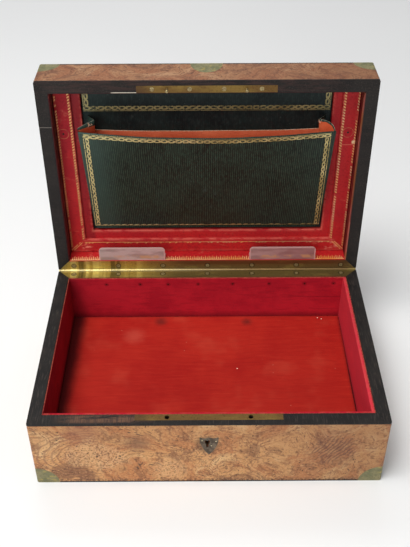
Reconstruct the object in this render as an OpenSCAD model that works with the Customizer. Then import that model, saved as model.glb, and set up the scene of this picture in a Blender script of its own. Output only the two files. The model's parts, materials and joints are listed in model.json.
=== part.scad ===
// Fitted dressing box: a veneered, brass-bound base and a hinged lid lined in red leather,
// with a green leather letter pocket in the lid and a two-stud link lock in the rims.
// The origin is the centre of the base's underside. X runs along the front, Y to the back, Z up.

/* [Carcase] */
// Outside width of the box
body_w = 320; // [300:1:340]
// Depth from the front face to the hinge's axis
axis_d = 218; // [206:1:230]
// Height of the base up to its rim
base_h = 79; // [74:1:92]
// Height of the lid from its rim to its top face
lid_h = 39; // [37:0.5:46]
// Width of the rims, which is the full thickness of a wall
wall_t = 12; // [11:0.5:14]
// Thickness of the burl veneer and of the brass let into it
veneer_t = 1; // [0.7:0.1:1.4]
// Thickness of the dark banding and of the brass plates let into the rims
layer_t = 1.5; // [1.4:0.1:1.9]
// Radius of the four upright corners
corner_r = 2.2; // [1.5:0.1:3]
// Thickness of the base's bottom board
bottom_t = 8; // [6:0.5:10]
// Thickness of the lid's top, its veneer included
lid_top_t = 12; // [10:0.5:13]
// Height of the dark stringing line on the outer edges
string_w = 1.6; // [1:0.1:2.4]

/* [Hinge] */
// Angle of the open lid, where it rests on the hinge's stop
lid_open = 91; // [90:0.5:95]
// Distance from the hinge's axis to the back face
hinge_inset = 3; // [2.6:0.1:4]
// Outer radius of the knuckles
knuckle_r = 1.7; // [1.6:0.05:1.9]
// Radius of the hinge pin
pin_r = 0.8; // [0.6:0.05:0.9]
// Distance from the middle to the joints between the knuckles
knuckle_split = 103; // [90:1:115]
// Distance from the end of a leaf to its last screw
leaf_screw_end = 16.9; // [15:0.1:24]

/* [Lock] */
// Length of the lock plate and of the link plate
plate_l = 131; // [124:1:140]
// Width of the lock plate and of the link plate
plate_w = 7; // [6.6:0.1:7.6]
// Distance from the middle to a stud
stud_x = 37; // [34:0.5:40]
// Radius of the stud holes in the lock plate
stud_hole_r = 2.2; // [2:0.05:2.4]
// Radius of a stud's head
stud_head_r = 1.5; // [1.3:0.05:1.55]
// Radius of a stud's neck
stud_neck_r = 0.9; // [0.8:0.05:1]
// Travel of the lock bolt
bolt_travel = 4; // [3:0.1:4.5]
// Depth of the keyhole's round end below the rim
keyhole_drop = 23.2; // [21:0.1:26]
// Offset of the keyhole from the middle of the box
keyhole_x = -1.5; // [-2:0.1:2]
// Width of the shield-shaped escutcheon
shield_w = 17.2; // [15:0.1:19]
// Height of the escutcheon
shield_h = 23.6; // [21:0.1:26]
// Depth of the escutcheon's top below the rim
shield_drop = 17.2; // [15:0.1:18.4]

/* [Brass corners] */
// Reach of a base corner mount along the box's edges
base_mount_l = 21.5; // [18:0.5:25]
// Height of a base corner mount
base_mount_h = 20; // [16:0.5:24]
// Reach of a lid corner mount along the box's edges
lid_mount_l = 20; // [17:0.5:24]
// Height of a lid corner mount
lid_mount_h = 17; // [14:0.5:20]
// Width of the mount in the middle of the lid's front edge
centre_mount_w = 31; // [26:0.5:36]
// Reach of that mount down the front and over the top
centre_mount_l = 21; // [17:0.5:24]

/* [Base lining] */
// Thickness of the cloth-covered lining boards on the front and right walls
lining_t = 3.5; // [2.5:0.1:4.5]
// Thickness of the lining on the back wall
back_lining_t = 1.5; // [1:0.1:4.5]
// Thickness of the lining on the left wall
left_lining_t = 1; // [0.8:0.1:4.5]
// Height of the floor's upper face above the underside
floor_z = 25; // [20:0.5:30]
// Thickness of the floor board
floor_t = 4; // [3:0.1:5]
// Gap round the floor board
floor_gap = 0.4; // [0.2:0.1:0.8]
// Width of a bearer under the floor board
bearer_w = 14; // [10:0.5:20]
// Radius of the tack holes in the back lining
tack_r = 0.8; // [0.6:0.1:1]

/* [Lid liner] */
// Thickness of the leather on the lid's inner walls
skin_t = 0.8; // [0.5:0.1:1]
// Depth of the liner frame's face from the hinge's axis plane
frame_v = 16.5; // [15:0.1:17]
// Thickness of the liner frame
frame_t = 3; // [2.5:0.1:3]
// Width of the liner frame's outer band
band_w = 16.6; // [15:0.1:17.5]
// Width of the stepped inner strip that shows
step_w = 9; // [8:0.1:9.6]
// Thickness of the green back panel
back_panel_t = 3; // [2:0.1:3.5]
// Height of the tooled panel above the pocket
tooled_h = 26.6; // [24:0.1:26.8]
// Gap between the tooled panel and the stepped strip on either side
tooled_gap = 1.8; // [1.5:0.1:4]
// Length of a mirror clip
clip_l = 70; // [60:1:76]
// Distance from the middle of the box to the middle of a clip
clip_x = 80; // [76:1:86]
// Height of a clip's upright tab
clip_h = 15.8; // [13:0.1:18]
// Thickness of a clip's metal
clip_t = 1.2; // [1:0.1:1.5]

/* [Letter pocket] */
// Angle at which the pocket's front stands open
pocket_open = 15.1; // [14:0.1:16]
// Height of the pocket's front board
pocket_l = 133; // [126:0.5:133.4]
// Gap between the front board's foot and the stepped strip on either side
pocket_gap = 2.1; // [1.7:0.1:4]
// How much further the front board reaches to either side at its mouth than at its foot
pocket_flare = 2.2; // [1.5:0.1:2.6]
// Gap between the back leaf and the stepped strip on either side
leaf_gap = 3.8; // [3:0.1:5]
// Bow of the front board's upper edge
pocket_bow = 9; // [5:0.5:10]
// Thickness of the front board with its leather
pocket_t = 2; // [1.6:0.1:2.2]
// Height of the pocket's foot above the hinge's axis
pocket_foot_u = 45; // [44:0.5:48]
// Height of the back leaf
back_leaf_l = 112; // [100:1:118]
// Thickness of the back leaf with its lining
back_leaf_t = 2.2; // [1.6:0.1:2.4]

/* [Hidden] */
$fn = 48;

// Clearances
rim_gap = 0.3;
inlay_gap = 0.05;
hinge_gap = 0.25;
pin_gap = 0.05;
screw_gap = 0.06;
bolt_gap = 0.1;
loose = 0.3;
stop_gap_deg = 0.5;
mitre_gap = 0.06;
panel_gap = 0.2;
stud_head_gap = 0.25;
knuckle_inset = 0.5;
fold_gap = 0.6;
overlap = 0.01;
cut = 1;

// Plan of the box
half_w = body_w / 2;
body_d = axis_d + hinge_inset;
front_y = -body_d / 2;
back_y = body_d / 2;
axis_y = back_y - hinge_inset;
axis_z = base_h + rim_gap / 2;
in_x = half_w - wall_t;
in_front_y = front_y + wall_t;
in_back_y = axis_y - wall_t;
core_x = half_w - veneer_t;

// Heights
wall_top = base_h - layer_t;
lid_z = base_h + rim_gap;
lid_wall_z = lid_z + layer_t;
lid_top = lid_z + lid_h;
lid_in_z = lid_top - lid_top_t;
lining_drop = 1.2;
lining_top = base_h - lining_drop;

// Wood screws with slotted countersunk heads
screw_head_r = 2.2;
screw_head_h = 1.2;
screw_shank_r = 1;
screw_slot_w = 0.6;
screw_slot_d = 0.5;
screw_l = 9;
small_screw_l = 6;
leaf_screws_a_side = 3;
leaf_screw_pitch = (half_w - leaf_screw_end) / leaf_screws_a_side;
leaf_screw_xs = [for (i = [-leaf_screws_a_side:leaf_screws_a_side]) i * leaf_screw_pitch];
leaf_screw_u = wall_t / 2;
link_screw_xs = [-51, -16, 16, 51];
clip_screw_dx = clip_l / 4;

// Lock
plate_y = in_front_y - plate_w / 2;
case_half = 48;
case_d = 6.5;
case_h = 30;
case_wall = 0.8;
case_floor = wall_top - case_h;
bolt_top = wall_top - loose;
bolt_t = 2.2;
bolt_w = case_d - 2 * case_wall - 2 * bolt_gap;
bolt_l = 2 * (case_half - case_wall) - bolt_travel - 4 * bolt_gap;
bolt_x = -case_half + case_wall + 2 * bolt_gap;
bolt_y = in_front_y - case_wall - bolt_gap;
bolt_hole_r = stud_head_r + stud_head_gap;
bolt_slot_r = stud_neck_r + loose;
tail_half = 9;
tail_t = 1.4;
tail_h = 13;
talon_r = 3.2;
guide_half = 2;
guide_x = 24;
keyhole_z = base_h - keyhole_drop;
keyhole_r = 2.5;
keyhole_slot_w = 2.2;
keyhole_slot_l = 7.2;
drill_r = 0.9;
drill_tip_drop = 1.6;
drill_tip_y = front_y + drill_tip_drop;
stud_head_h = 1.2;
stud_taper = 0.45;
stud_head_top = bolt_top - bolt_t - loose;
shield_top = base_h - shield_drop;
shield_dip = 1.4;
scallop_r_share = 0.27;
scallop_x_share = 0.235;
scallop_rise_share = 0.72;
shield_pins = [[-6.2, -4.4], [6.2, -5.6], [2, -11.4]];
shield_pin_r = 0.6;
shield_pin_l = 4;

// Lid liner, as distances from the hinge's axis (u) and depths from its plane (v)
lid_in_v = lid_in_z - axis_z;
frame_x = in_x - skin_t - loose;
frame_foot_u = wall_t + skin_t + loose;
frame_head_u = axis_d - wall_t - skin_t - loose;
frame_back_v = frame_v + frame_t;
batten_w = 13.8;
batten_x = frame_x - batten_w;
panel_v = lid_in_v - back_panel_t;
panel_x = batten_x - panel_gap;
step_x = frame_x - band_w - step_w;
panel_foot_u = frame_foot_u + batten_w + panel_gap;
tooled_half = step_x - tooled_gap;
tooled_t = 1.5;
tooled_rise = 1;
tooled_v = frame_back_v - tooled_rise;
tooled_foot_u = frame_head_u - tooled_h;
head_batten_setback = 6;
head_batten_u = tooled_foot_u + head_batten_setback;
clip_v = 1;
clip_foot_d = 11;
clip_r = 4;
clip_foot_u = wall_t + skin_t;
clip_screw_v = clip_v + 6.5;
skin_drop = 0.6;

// Letter pocket
leaf_v = panel_v - back_leaf_t;
leaf_half = step_x - leaf_gap;
pocket_foot_half = step_x - pocket_gap;
pocket_mouth_half = pocket_foot_half + pocket_flare;
pocket_axis_v = leaf_v - pocket_t / 2 - fold_gap;
foot_strip_t = 2;
foot_strip_u = pocket_foot_u - pocket_t / 2 - loose - foot_strip_t;
gusset_t = 0.8;
gusset_fold_in = 11;
gusset_inset = 2;
gusset_foot_rise = 8;
gusset_front_drop = 4;
gusset_back_rise = 14;
gusset_fold_rise = 3;
bow_steps = 14;
rise_steps = 6;

// Back lining's tack holes, from left to right
tack_xs = [-108, -72, -42, -10, 27, 66, 104, 135];
tack_drop = 8.6;

burl = [0.66, 0.46, 0.30];
pale_burl = [0.72, 0.52, 0.36];
carcase_wood = [0.52, 0.33, 0.20];
ebony = [0.10, 0.09, 0.08];
old_brass = [0.66, 0.52, 0.24];
green_brass = [0.42, 0.47, 0.30];
steel = [0.45, 0.44, 0.42];
crimson = [0.66, 0.07, 0.12];
floor_red = [0.74, 0.14, 0.09];
leather_red = [0.70, 0.12, 0.11];
teal = [0.07, 0.16, 0.16];
orange = [0.83, 0.33, 0.17];
nickel = [0.72, 0.66, 0.63];

// Shared shapes

module block(x, y, z)
    translate([x[0], y[0], z[0]])
        cube([x[1] - x[0], y[1] - y[0], z[1] - z[0]]);

// Lays a shape of the closed lid over to the angle at which the lid stands open
module opened()
    translate([0, axis_y, axis_z])
        rotate([-lid_open, 0, 0])
            translate([0, -axis_y, -axis_z])
                children();

// A block of the closed lid: x, distance from the hinge's axis, depth from its plane
module lid_block(x, u, v)
    block(x, [axis_y - u[1], axis_y - u[0]], [axis_z + v[0], axis_z + v[1]]);

module both_sides()
    for (side = [0, 1])
        mirror([side, 0, 0])
            children();

module flipped(direction, on)
    if (on)
        mirror(direction) children();
    else
        children();

// The box's plan with its rounded corners
module plan() {
    for (x = [-1, 1], y = [-1, 1])
        translate([x * (half_w - corner_r), y * (body_d / 2 - corner_r)])
            circle(corner_r);
    square([body_w - 2 * corner_r, body_d], center = true);
    square([body_w, body_d - 2 * corner_r], center = true);
}

module within_plan(z)
    intersection() {
        children();
        translate([0, 0, z[0]])
            linear_extrude(z[1] - z[0])
                plan();
    }

// Room for the knuckles, and the bevels behind them that stop the lid
module hinge_room() {
    reach = hinge_inset + cut;
    rise = reach * tan(lid_open / 2 + stop_gap_deg);
    translate([0, axis_y, axis_z]) {
        rotate([0, 90, 0])
            cylinder(r = knuckle_r + hinge_gap, h = body_w + 2 * cut, center = true);
        translate([-half_w - cut, 0, 0])
            rotate([90, 0, 90])
                linear_extrude(body_w + 2 * cut)
                    polygon([[0, 0], [reach, -rise], [reach, rise]]);
    }
}

// A slotted wood screw that hangs from the origin; with grow it is the hole for one
module screw(length, grow = 0)
    difference() {
        rotate_extrude()
            polygon([
                [0, grow > 0 ? cut : 0],
                [screw_head_r + grow, grow > 0 ? cut : 0],
                [screw_head_r + grow, 0],
                [screw_shank_r + grow, -screw_head_h - grow],
                [screw_shank_r + grow, -length - grow],
                [0, -length - grow]
            ]);
        if (grow == 0)
            translate([-screw_head_r - cut, -screw_slot_w / 2, -screw_slot_d])
                cube([2 * (screw_head_r + cut), screw_slot_w, screw_slot_d + cut]);
    }

function ellipse_points(a, b, from, to, steps) =
    [for (i = [0:steps]) let (t = from + (to - from) * i / steps) [a * cos(t), b * sin(t)]];

// A quarter oval with its corner at the origin; over widens it past the two straight sides
module lobe(a, b, over)
    polygon(concat(
        [[-over, -over], [a, -over]],
        ellipse_points(a, b, 0, 90, 12),
        [[-over, b]]
    ));

// Three joined lobes that wrap a corner of the box
module corner_mount(reach, height, grow = 0, over = 0) {
    t = veneer_t + grow + over;
    translate([0, t - over, 0])
        rotate([90, 0, 0])
            linear_extrude(t)
                lobe(reach + grow, height + grow, over);
    translate([-over, 0, 0])
        rotate([90, 0, 90])
            linear_extrude(t)
                lobe(reach + grow, height + grow, over);
    translate([0, 0, -over])
        linear_extrude(t)
            lobe(reach + grow, reach + grow, over);
}

module at_corners(rows, z, up)
    for (side = [0, 1], row = rows)
        flipped([1, 0, 0], side == 1)
            translate([-half_w, row * body_d / 2, z])
                flipped([0, 1, 0], row > 0)
                    flipped([0, 0, 1], !up)
                        children();

module base_mounts(rows, grow = 0, over = 0)
    at_corners(rows, 0, true)
        corner_mount(base_mount_l, base_mount_h, grow, over);

module lid_mounts(rows, grow = 0, over = 0)
    at_corners(rows, lid_top, false)
        corner_mount(lid_mount_l, lid_mount_h, grow, over);

module half_oval(width, reach, over) {
    polygon(ellipse_points(width / 2, reach, 0, 180, 24));
    translate([-width / 2, -over])
        square([width, over + overlap]);
}

// The oval that wraps the middle of the lid's front edge
module centre_mount(grow = 0, over = 0) {
    t = veneer_t + grow + over;
    translate([0, front_y + t - over, lid_top])
        rotate([-90, 0, 0])
            mirror([0, 0, 1])
                linear_extrude(t)
                    half_oval(centre_mount_w + 2 * grow, centre_mount_l + grow, over);
    translate([0, front_y, lid_top - t + over])
        linear_extrude(t)
            half_oval(centre_mount_w + 2 * grow, centre_mount_l + grow, over);
}

// A banding strip along the front rim, mitred at both ends
module front_strip(z)
    translate([0, 0, z])
        linear_extrude(layer_t)
            polygon([[-half_w, front_y], [half_w, front_y], [in_x, in_front_y], [-in_x, in_front_y]]);

// A banding strip along the right rim, mitred to the front strip and to the hinge leaf
module right_strip(z)
    translate([0, 0, z])
        linear_extrude(layer_t)
            polygon([[half_w, front_y + mitre_gap], [half_w, axis_y - mitre_gap],
                     [in_x, in_back_y - mitre_gap], [in_x, in_front_y + mitre_gap]]);

module rim_plate(z, grow = 0)
    block([-plate_l / 2 - grow, plate_l / 2 + grow],
          [in_front_y - plate_w - grow, in_front_y + (grow > 0 ? cut : 0)],
          [z - (grow > 0 ? cut : 0), z + layer_t + (grow > 0 ? cut : 0)]);

module shield_outline() {
    side_r = (shield_h * shield_h + shield_w * shield_w / 4) / shield_w;
    shoulder = shield_h - shield_dip;
    scallop_r = scallop_r_share * shield_w;
    translate([0, -shoulder])
        difference() {
            intersection() {
                translate([side_r - shield_w / 2, shoulder])
                    circle(side_r, $fn = 96);
                translate([shield_w / 2 - side_r, shoulder])
                    circle(side_r, $fn = 96);
                translate([-shield_w / 2, -shield_h])
                    square([shield_w, shoulder + shield_h]);
            }
            for (side = [-1, 1])
                translate([side * scallop_x_share * shield_w, shoulder + scallop_rise_share * scallop_r])
                    circle(scallop_r);
        }
}

module shield(t, grow = 0)
    translate([0, front_y + t, shield_top])
        rotate([90, 0, 0])
            linear_extrude(t + (grow > 0 ? cut : 0))
                shield_outline();

module keyhole(y, grow = 0)
    translate([keyhole_x, y[1], keyhole_z])
        rotate([90, 0, 0])
            linear_extrude(y[1] - y[0]) {
                circle(keyhole_r + grow);
                translate([-keyhole_slot_w / 2 - grow, -keyhole_slot_l - grow])
                    square([keyhole_slot_w + 2 * grow, keyhole_slot_l]);
            }

module at_shield_pins()
    for (p = shield_pins)
        translate([p[0], front_y, shield_top + p[1]])
            rotate([-90, 0, 0])
                children();

// Base

module base_front_wall()
    color(carcase_wood)
        difference() {
            block([-core_x, core_x], [front_y + veneer_t, in_front_y], [0, wall_top]);
            block([-case_half - bolt_gap, case_half + bolt_gap],
                  [in_front_y - case_d - bolt_gap, in_front_y + cut],
                  [case_floor - bolt_gap, wall_top + cut]);
            keyhole([front_y, in_front_y]);
            base_mounts([-1], inlay_gap, cut);
            at_shield_pins() cylinder(r = shield_pin_r + inlay_gap, h = shield_pin_l + inlay_gap);
        }

module base_back_wall()
    color(carcase_wood)
        difference() {
            block([-core_x, core_x], [in_back_y, back_y - veneer_t], [0, wall_top]);
            hinge_room();
            base_mounts([1], inlay_gap, cut);
            at_base_leaf_screws() screw(screw_l, screw_gap);
        }

module base_side_wall()
    color(carcase_wood)
        difference() {
            block([in_x, core_x], [in_front_y, in_back_y], [0, wall_top]);
            base_mounts([-1, 1], inlay_gap, cut);
        }

module base_bottom_board()
    color(carcase_wood)
        difference() {
            block([-in_x, in_x], [in_front_y, in_back_y], [0, bottom_t]);
            base_mounts([-1, 1], inlay_gap, cut);
        }

module base_front_veneer()
    color(burl)
        difference() {
            within_plan([string_w, wall_top])
                block([-half_w, half_w], [front_y, front_y + veneer_t], [string_w, wall_top]);
            base_mounts([-1], inlay_gap, cut);
            shield(veneer_t + inlay_gap, inlay_gap);
        }

module base_back_veneer()
    color(burl)
        difference() {
            within_plan([string_w, base_h])
                block([-half_w, half_w], [back_y - veneer_t, back_y], [string_w, base_h]);
            hinge_room();
            base_mounts([1], inlay_gap, cut);
        }

module base_side_veneer()
    color(burl)
        difference() {
            within_plan([string_w, wall_top])
                block([core_x, half_w], [front_y + veneer_t, back_y - veneer_t], [string_w, wall_top]);
            hinge_room();
            base_mounts([-1, 1], inlay_gap, cut);
        }

module base_rim_banding()
    color(ebony)
        difference() {
            within_plan([wall_top, base_h]) {
                front_strip(wall_top);
                both_sides() right_strip(wall_top);
            }
            rim_plate(wall_top, inlay_gap);
            hinge_room();
        }

// The four strips of a stringing line between two heights
module stringing(z) {
    for (y = [front_y, back_y - veneer_t])
        block([-half_w, half_w], [y, y + veneer_t], z);
    both_sides()
        block([core_x, half_w], [front_y + veneer_t, back_y - veneer_t], z);
}

module base_stringing()
    color(ebony)
        difference() {
            within_plan([0, string_w]) stringing([0, string_w]);
            base_mounts([-1, 1], inlay_gap, cut);
        }

module base_front_lining()
    color(crimson)
        block([-in_x, in_x], [in_front_y, in_front_y + lining_t], [bottom_t, lining_top]);

module base_back_lining()
    color(crimson)
        difference() {
            block([-in_x, in_x], [in_back_y - back_lining_t, in_back_y], [bottom_t, lining_top]);
            for (x = tack_xs)
                translate([x, in_back_y + cut, base_h - tack_drop])
                    rotate([90, 0, 0])
                        cylinder(r = tack_r, h = back_lining_t + 2 * cut);
        }

module base_side_lining(t)
    color(crimson)
        block([in_x - t, in_x], [in_front_y + lining_t, in_back_y - back_lining_t],
              [bottom_t, lining_top]);

module false_floor()
    color(floor_red)
        block([-in_x + left_lining_t + floor_gap, in_x - lining_t - floor_gap],
              [in_front_y + lining_t + floor_gap, in_back_y - back_lining_t - floor_gap],
              [floor_z - floor_t, floor_z]);

module floor_bearers() {
    y = [in_front_y + lining_t, in_back_y - back_lining_t];
    reach = y[1] - y[0];
    color(carcase_wood)
        for (i = [-1:1])
            translate([0, (y[0] + y[1]) / 2 + i * reach / 3, 0])
                block([-in_x + left_lining_t, in_x - lining_t], [-bearer_w / 2, bearer_w / 2],
                      [bottom_t, floor_z - floor_t]);
}

// Hinge

module knuckle(x, r)
    translate([x[0], axis_y, axis_z])
        rotate([0, 90, 0])
            cylinder(r = r, h = x[1] - x[0]);

knuckle_end = half_w - knuckle_inset;
middle_knuckle = [-knuckle_split, knuckle_split];
end_knuckle = [knuckle_split + hinge_gap, knuckle_end];

module leaf_plate(z)
    translate([0, 0, z])
        linear_extrude(layer_t)
            polygon([[-half_w, axis_y], [half_w, axis_y], [in_x, in_back_y], [-in_x, in_back_y]]);

module pin_bore()
    knuckle([-half_w - cut, half_w + cut], pin_r + pin_gap);

module at_base_leaf_screws()
    for (x = leaf_screw_xs)
        translate([x, axis_y - leaf_screw_u, base_h])
            children();

module at_lid_leaf_screws()
    for (x = leaf_screw_xs)
        translate([x, axis_y - leaf_screw_u, lid_z])
            mirror([0, 0, 1])
                children();

module base_hinge_leaf()
    color(old_brass)
        difference() {
            union() {
                difference() {
                    leaf_plate(wall_top);
                    knuckle([-knuckle_split - hinge_gap, knuckle_split + hinge_gap],
                            knuckle_r + hinge_gap);
                    knuckle([knuckle_end, half_w + cut], knuckle_r + hinge_gap);
                    knuckle([-half_w - cut, -knuckle_end], knuckle_r + hinge_gap);
                }
                both_sides() knuckle(end_knuckle, knuckle_r);
            }
            pin_bore();
            at_base_leaf_screws() screw(screw_l, screw_gap);
        }

module lid_hinge_leaf()
    color(old_brass)
        opened()
            difference() {
                union() {
                    difference() {
                        leaf_plate(lid_z);
                        both_sides()
                            knuckle([knuckle_split, half_w + cut], knuckle_r + hinge_gap);
                    }
                    knuckle(middle_knuckle, knuckle_r);
                }
                pin_bore();
                at_lid_leaf_screws() screw(screw_l, screw_gap);
            }

module hinge_pin()
    color(steel)
        knuckle([-knuckle_end, knuckle_end], pin_r);

module base_hinge_screws()
    color(old_brass)
        at_base_leaf_screws() screw(screw_l);

module lid_hinge_screws()
    color(old_brass)
        opened() at_lid_leaf_screws() screw(screw_l);

// Lock

module lock_case()
    color(old_brass)
        difference() {
            block([-case_half, case_half], [in_front_y - case_d, in_front_y], [case_floor, wall_top]);
            difference() {
                block([-case_half + case_wall, case_half - case_wall],
                      [in_front_y - case_d + case_wall, in_front_y - case_wall],
                      [case_floor + case_wall, wall_top + cut]);
                both_sides()
                    block([guide_x - guide_half, guide_x + guide_half],
                          [in_front_y - case_d, in_front_y],
                          [case_floor, bolt_top - bolt_t - bolt_gap]);
            }
            keyhole([in_front_y - case_d - cut, in_front_y - case_d + case_wall + cut]);
        }

module lock_plate()
    color(old_brass)
        difference() {
            rim_plate(wall_top);
            both_sides()
                translate([stud_x, plate_y, wall_top - cut])
                    cylinder(r = stud_hole_r, h = layer_t + 2 * cut);
        }

// A hole that passes a stud's head, with a slot that holds its neck
module stud_slot() {
    cylinder(r = bolt_hole_r, h = bolt_t + 2 * cut);
    translate([-bolt_travel, 0, 0])
        cylinder(r = bolt_slot_r, h = bolt_t + 2 * cut);
    translate([-bolt_travel, -bolt_slot_r, 0])
        cube([bolt_travel, 2 * bolt_slot_r, bolt_t + 2 * cut]);
}

module lock_bolt() {
    tail_low = bolt_top - bolt_t - tail_h;
    color(old_brass)
        difference() {
            union() {
                block([bolt_x, bolt_x + bolt_l], [bolt_y - bolt_w, bolt_y],
                      [bolt_top - bolt_t, bolt_top]);
                block([keyhole_x - tail_half, keyhole_x + tail_half], [bolt_y - tail_t, bolt_y],
                      [tail_low, bolt_top - bolt_t]);
            }
            for (x = [-stud_x, stud_x])
                translate([x, plate_y, bolt_top - bolt_t - cut])
                    stud_slot();
            translate([keyhole_x, bolt_y + cut, tail_low])
                rotate([90, 0, 0])
                    cylinder(r = talon_r, h = tail_t + 2 * cut);
        }
}

module drill_pin()
    color(steel)
        translate([keyhole_x, in_front_y - case_wall, keyhole_z])
            rotate([90, 0, 0])
                cylinder(r = drill_r, h = in_front_y - case_wall - drill_tip_y);

module escutcheon()
    color(green_brass)
        difference() {
            shield(veneer_t);
            keyhole([front_y - cut, front_y + veneer_t + cut]);
            at_shield_pins()
                translate([0, 0, -cut])
                    cylinder(r = shield_pin_r + inlay_gap, h = veneer_t + 2 * cut);
        }

module escutcheon_pins()
    color(old_brass)
        at_shield_pins() cylinder(r = shield_pin_r, h = shield_pin_l);

module at_link_screws()
    for (x = link_screw_xs)
        translate([x, plate_y, lid_z])
            mirror([0, 0, 1])
                children();

module link_plate()
    color(old_brass)
        opened()
            difference() {
                rim_plate(lid_z);
                at_link_screws() screw(small_screw_l, screw_gap);
                both_sides()
                    translate([stud_x, plate_y, lid_z - cut])
                        cylinder(r = stud_neck_r + inlay_gap, h = layer_t + 2 * cut);
            }

module link_studs()
    color(old_brass)
        opened()
            both_sides()
                translate([stud_x, plate_y, stud_head_top - stud_head_h]) {
                    cylinder(r1 = stud_head_r - stud_taper, r2 = stud_head_r, h = stud_head_h / 2);
                    translate([0, 0, stud_head_h / 2])
                        cylinder(r = stud_head_r, h = stud_head_h / 2);
                    cylinder(r = stud_neck_r, h = lid_z + layer_t - stud_head_top + stud_head_h);
                }

module link_screws()
    color(old_brass)
        opened() at_link_screws() screw(small_screw_l);

// Brass mounts

module base_front_mounts()
    color(green_brass)
        within_plan([0, base_h]) base_mounts([-1]);

module base_back_mounts()
    color(green_brass)
        within_plan([0, base_h]) base_mounts([1]);

module lid_front_mounts()
    color(green_brass)
        opened() within_plan([lid_z, lid_top]) lid_mounts([-1]);

module lid_back_mounts()
    color(green_brass)
        opened() within_plan([lid_z, lid_top]) lid_mounts([1]);

module lid_centre_mount()
    color(green_brass)
        opened() centre_mount();

// Lid

module lid_front_wall()
    color(carcase_wood)
        opened()
            difference() {
                block([-core_x, core_x], [front_y + veneer_t, in_front_y], [lid_wall_z, lid_in_z]);
                at_link_screws() screw(small_screw_l, screw_gap);
            }

module lid_back_wall()
    color(carcase_wood)
        opened()
            difference() {
                block([-core_x, core_x], [in_back_y, back_y - veneer_t], [lid_wall_z, lid_in_z]);
                hinge_room();
                at_lid_leaf_screws() screw(screw_l, screw_gap);
                at_clip_screws() screw(small_screw_l, screw_gap);
            }

module lid_side_wall()
    color(carcase_wood)
        block([in_x, core_x], [in_front_y, in_back_y], [lid_wall_z, lid_in_z]);

module lid_top_board()
    color(carcase_wood)
        opened()
            difference() {
                block([-core_x, core_x], [front_y + veneer_t, back_y - veneer_t],
                      [lid_in_z, lid_top - veneer_t]);
                lid_mounts([-1, 1], inlay_gap, cut);
                centre_mount(inlay_gap, cut);
            }

lid_side_z = [lid_wall_z, lid_top - string_w];

module lid_front_veneer()
    color(pale_burl)
        opened()
            difference() {
                within_plan(lid_side_z)
                    block([-half_w, half_w], [front_y, front_y + veneer_t], lid_side_z);
                lid_mounts([-1], inlay_gap, cut);
                centre_mount(inlay_gap, cut);
            }

module lid_back_veneer()
    color(burl)
        opened()
            difference() {
                within_plan([lid_z, lid_side_z[1]])
                    block([-half_w, half_w], [back_y - veneer_t, back_y], [lid_z, lid_side_z[1]]);
                hinge_room();
                lid_mounts([1], inlay_gap, cut);
            }

module lid_side_veneers()
    color(burl)
        opened()
            difference() {
                within_plan(lid_side_z)
                    both_sides()
                        block([core_x, half_w], [front_y + veneer_t, back_y - veneer_t], lid_side_z);
                hinge_room();
                lid_mounts([-1, 1], inlay_gap, cut);
            }

module lid_top_veneer()
    color(burl)
        opened()
            difference() {
                block([-core_x, core_x], [front_y + veneer_t, back_y - veneer_t],
                      [lid_top - veneer_t, lid_top]);
                lid_mounts([-1, 1], inlay_gap, cut);
                centre_mount(inlay_gap, cut);
            }

module lid_rim_banding()
    color(ebony)
        opened()
            difference() {
                within_plan([lid_z, lid_wall_z]) {
                    front_strip(lid_z);
                    both_sides() right_strip(lid_z);
                }
                rim_plate(lid_z, inlay_gap);
                hinge_room();
            }

module lid_stringing()
    color(ebony)
        opened()
            difference() {
                within_plan([lid_side_z[1], lid_top]) stringing([lid_side_z[1], lid_top]);
                lid_mounts([-1, 1], inlay_gap, cut);
                centre_mount(inlay_gap, cut);
            }

module lid_leather_lining() {
    v = [rim_gap / 2 + skin_drop, lid_in_v];
    color(leather_red)
        opened()
            difference() {
                union() {
                    lid_block([-in_x, in_x], [wall_t, wall_t + skin_t], v);
                    lid_block([-in_x, in_x], [axis_d - wall_t - skin_t, axis_d - wall_t], v);
                    both_sides()
                        lid_block([in_x - skin_t, in_x],
                                  [wall_t + skin_t, axis_d - wall_t - skin_t], v);
                }
                at_clip_screws() screw(small_screw_l, screw_gap);
            }
}

module liner_battens()
    color(carcase_wood)
        opened() {
            lid_block([-frame_x, frame_x], [frame_foot_u, frame_foot_u + batten_w],
                      [frame_back_v, lid_in_v]);
            both_sides()
                lid_block([batten_x, frame_x], [frame_foot_u + batten_w + mitre_gap, frame_head_u],
                          [frame_back_v, lid_in_v]);
            lid_block([-tooled_half, tooled_half], [head_batten_u, frame_head_u],
                      [tooled_v + tooled_t, lid_in_v]);
        }

// A three-sided frame of mitred strips: half-width, foot and head distances, strip width, depths
module mitred_frame(half, foot, head, width, v) {
    translate([0, axis_y, axis_z + v[0]])
        linear_extrude(v[1] - v[0]) {
            polygon([[-half, -foot], [half, -foot], [half - width, -foot - width],
                     [-half + width, -foot - width]]);
        }
    both_sides()
        translate([0, axis_y, axis_z + v[0]])
            linear_extrude(v[1] - v[0])
                polygon([[half, -foot - mitre_gap], [half, -head], [half - width, -head],
                         [half - width, -foot - width - mitre_gap]]);
}

module liner_frame()
    color(leather_red)
        opened()
            mitred_frame(frame_x, frame_foot_u, frame_head_u, band_w, [frame_v, frame_back_v]);

module liner_step()
    color(leather_red)
        opened()
            mitred_frame(panel_x, panel_foot_u, frame_head_u, panel_x - step_x,
                         [frame_back_v, panel_v]);

module lid_back_panel()
    color(teal)
        opened()
            lid_block([-panel_x, panel_x], [panel_foot_u, head_batten_u - panel_gap], [panel_v, lid_in_v]);

module tooled_panel()
    color(teal)
        opened()
            lid_block([-tooled_half, tooled_half], [tooled_foot_u, frame_head_u],
                      [tooled_v, tooled_v + tooled_t]);

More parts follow.
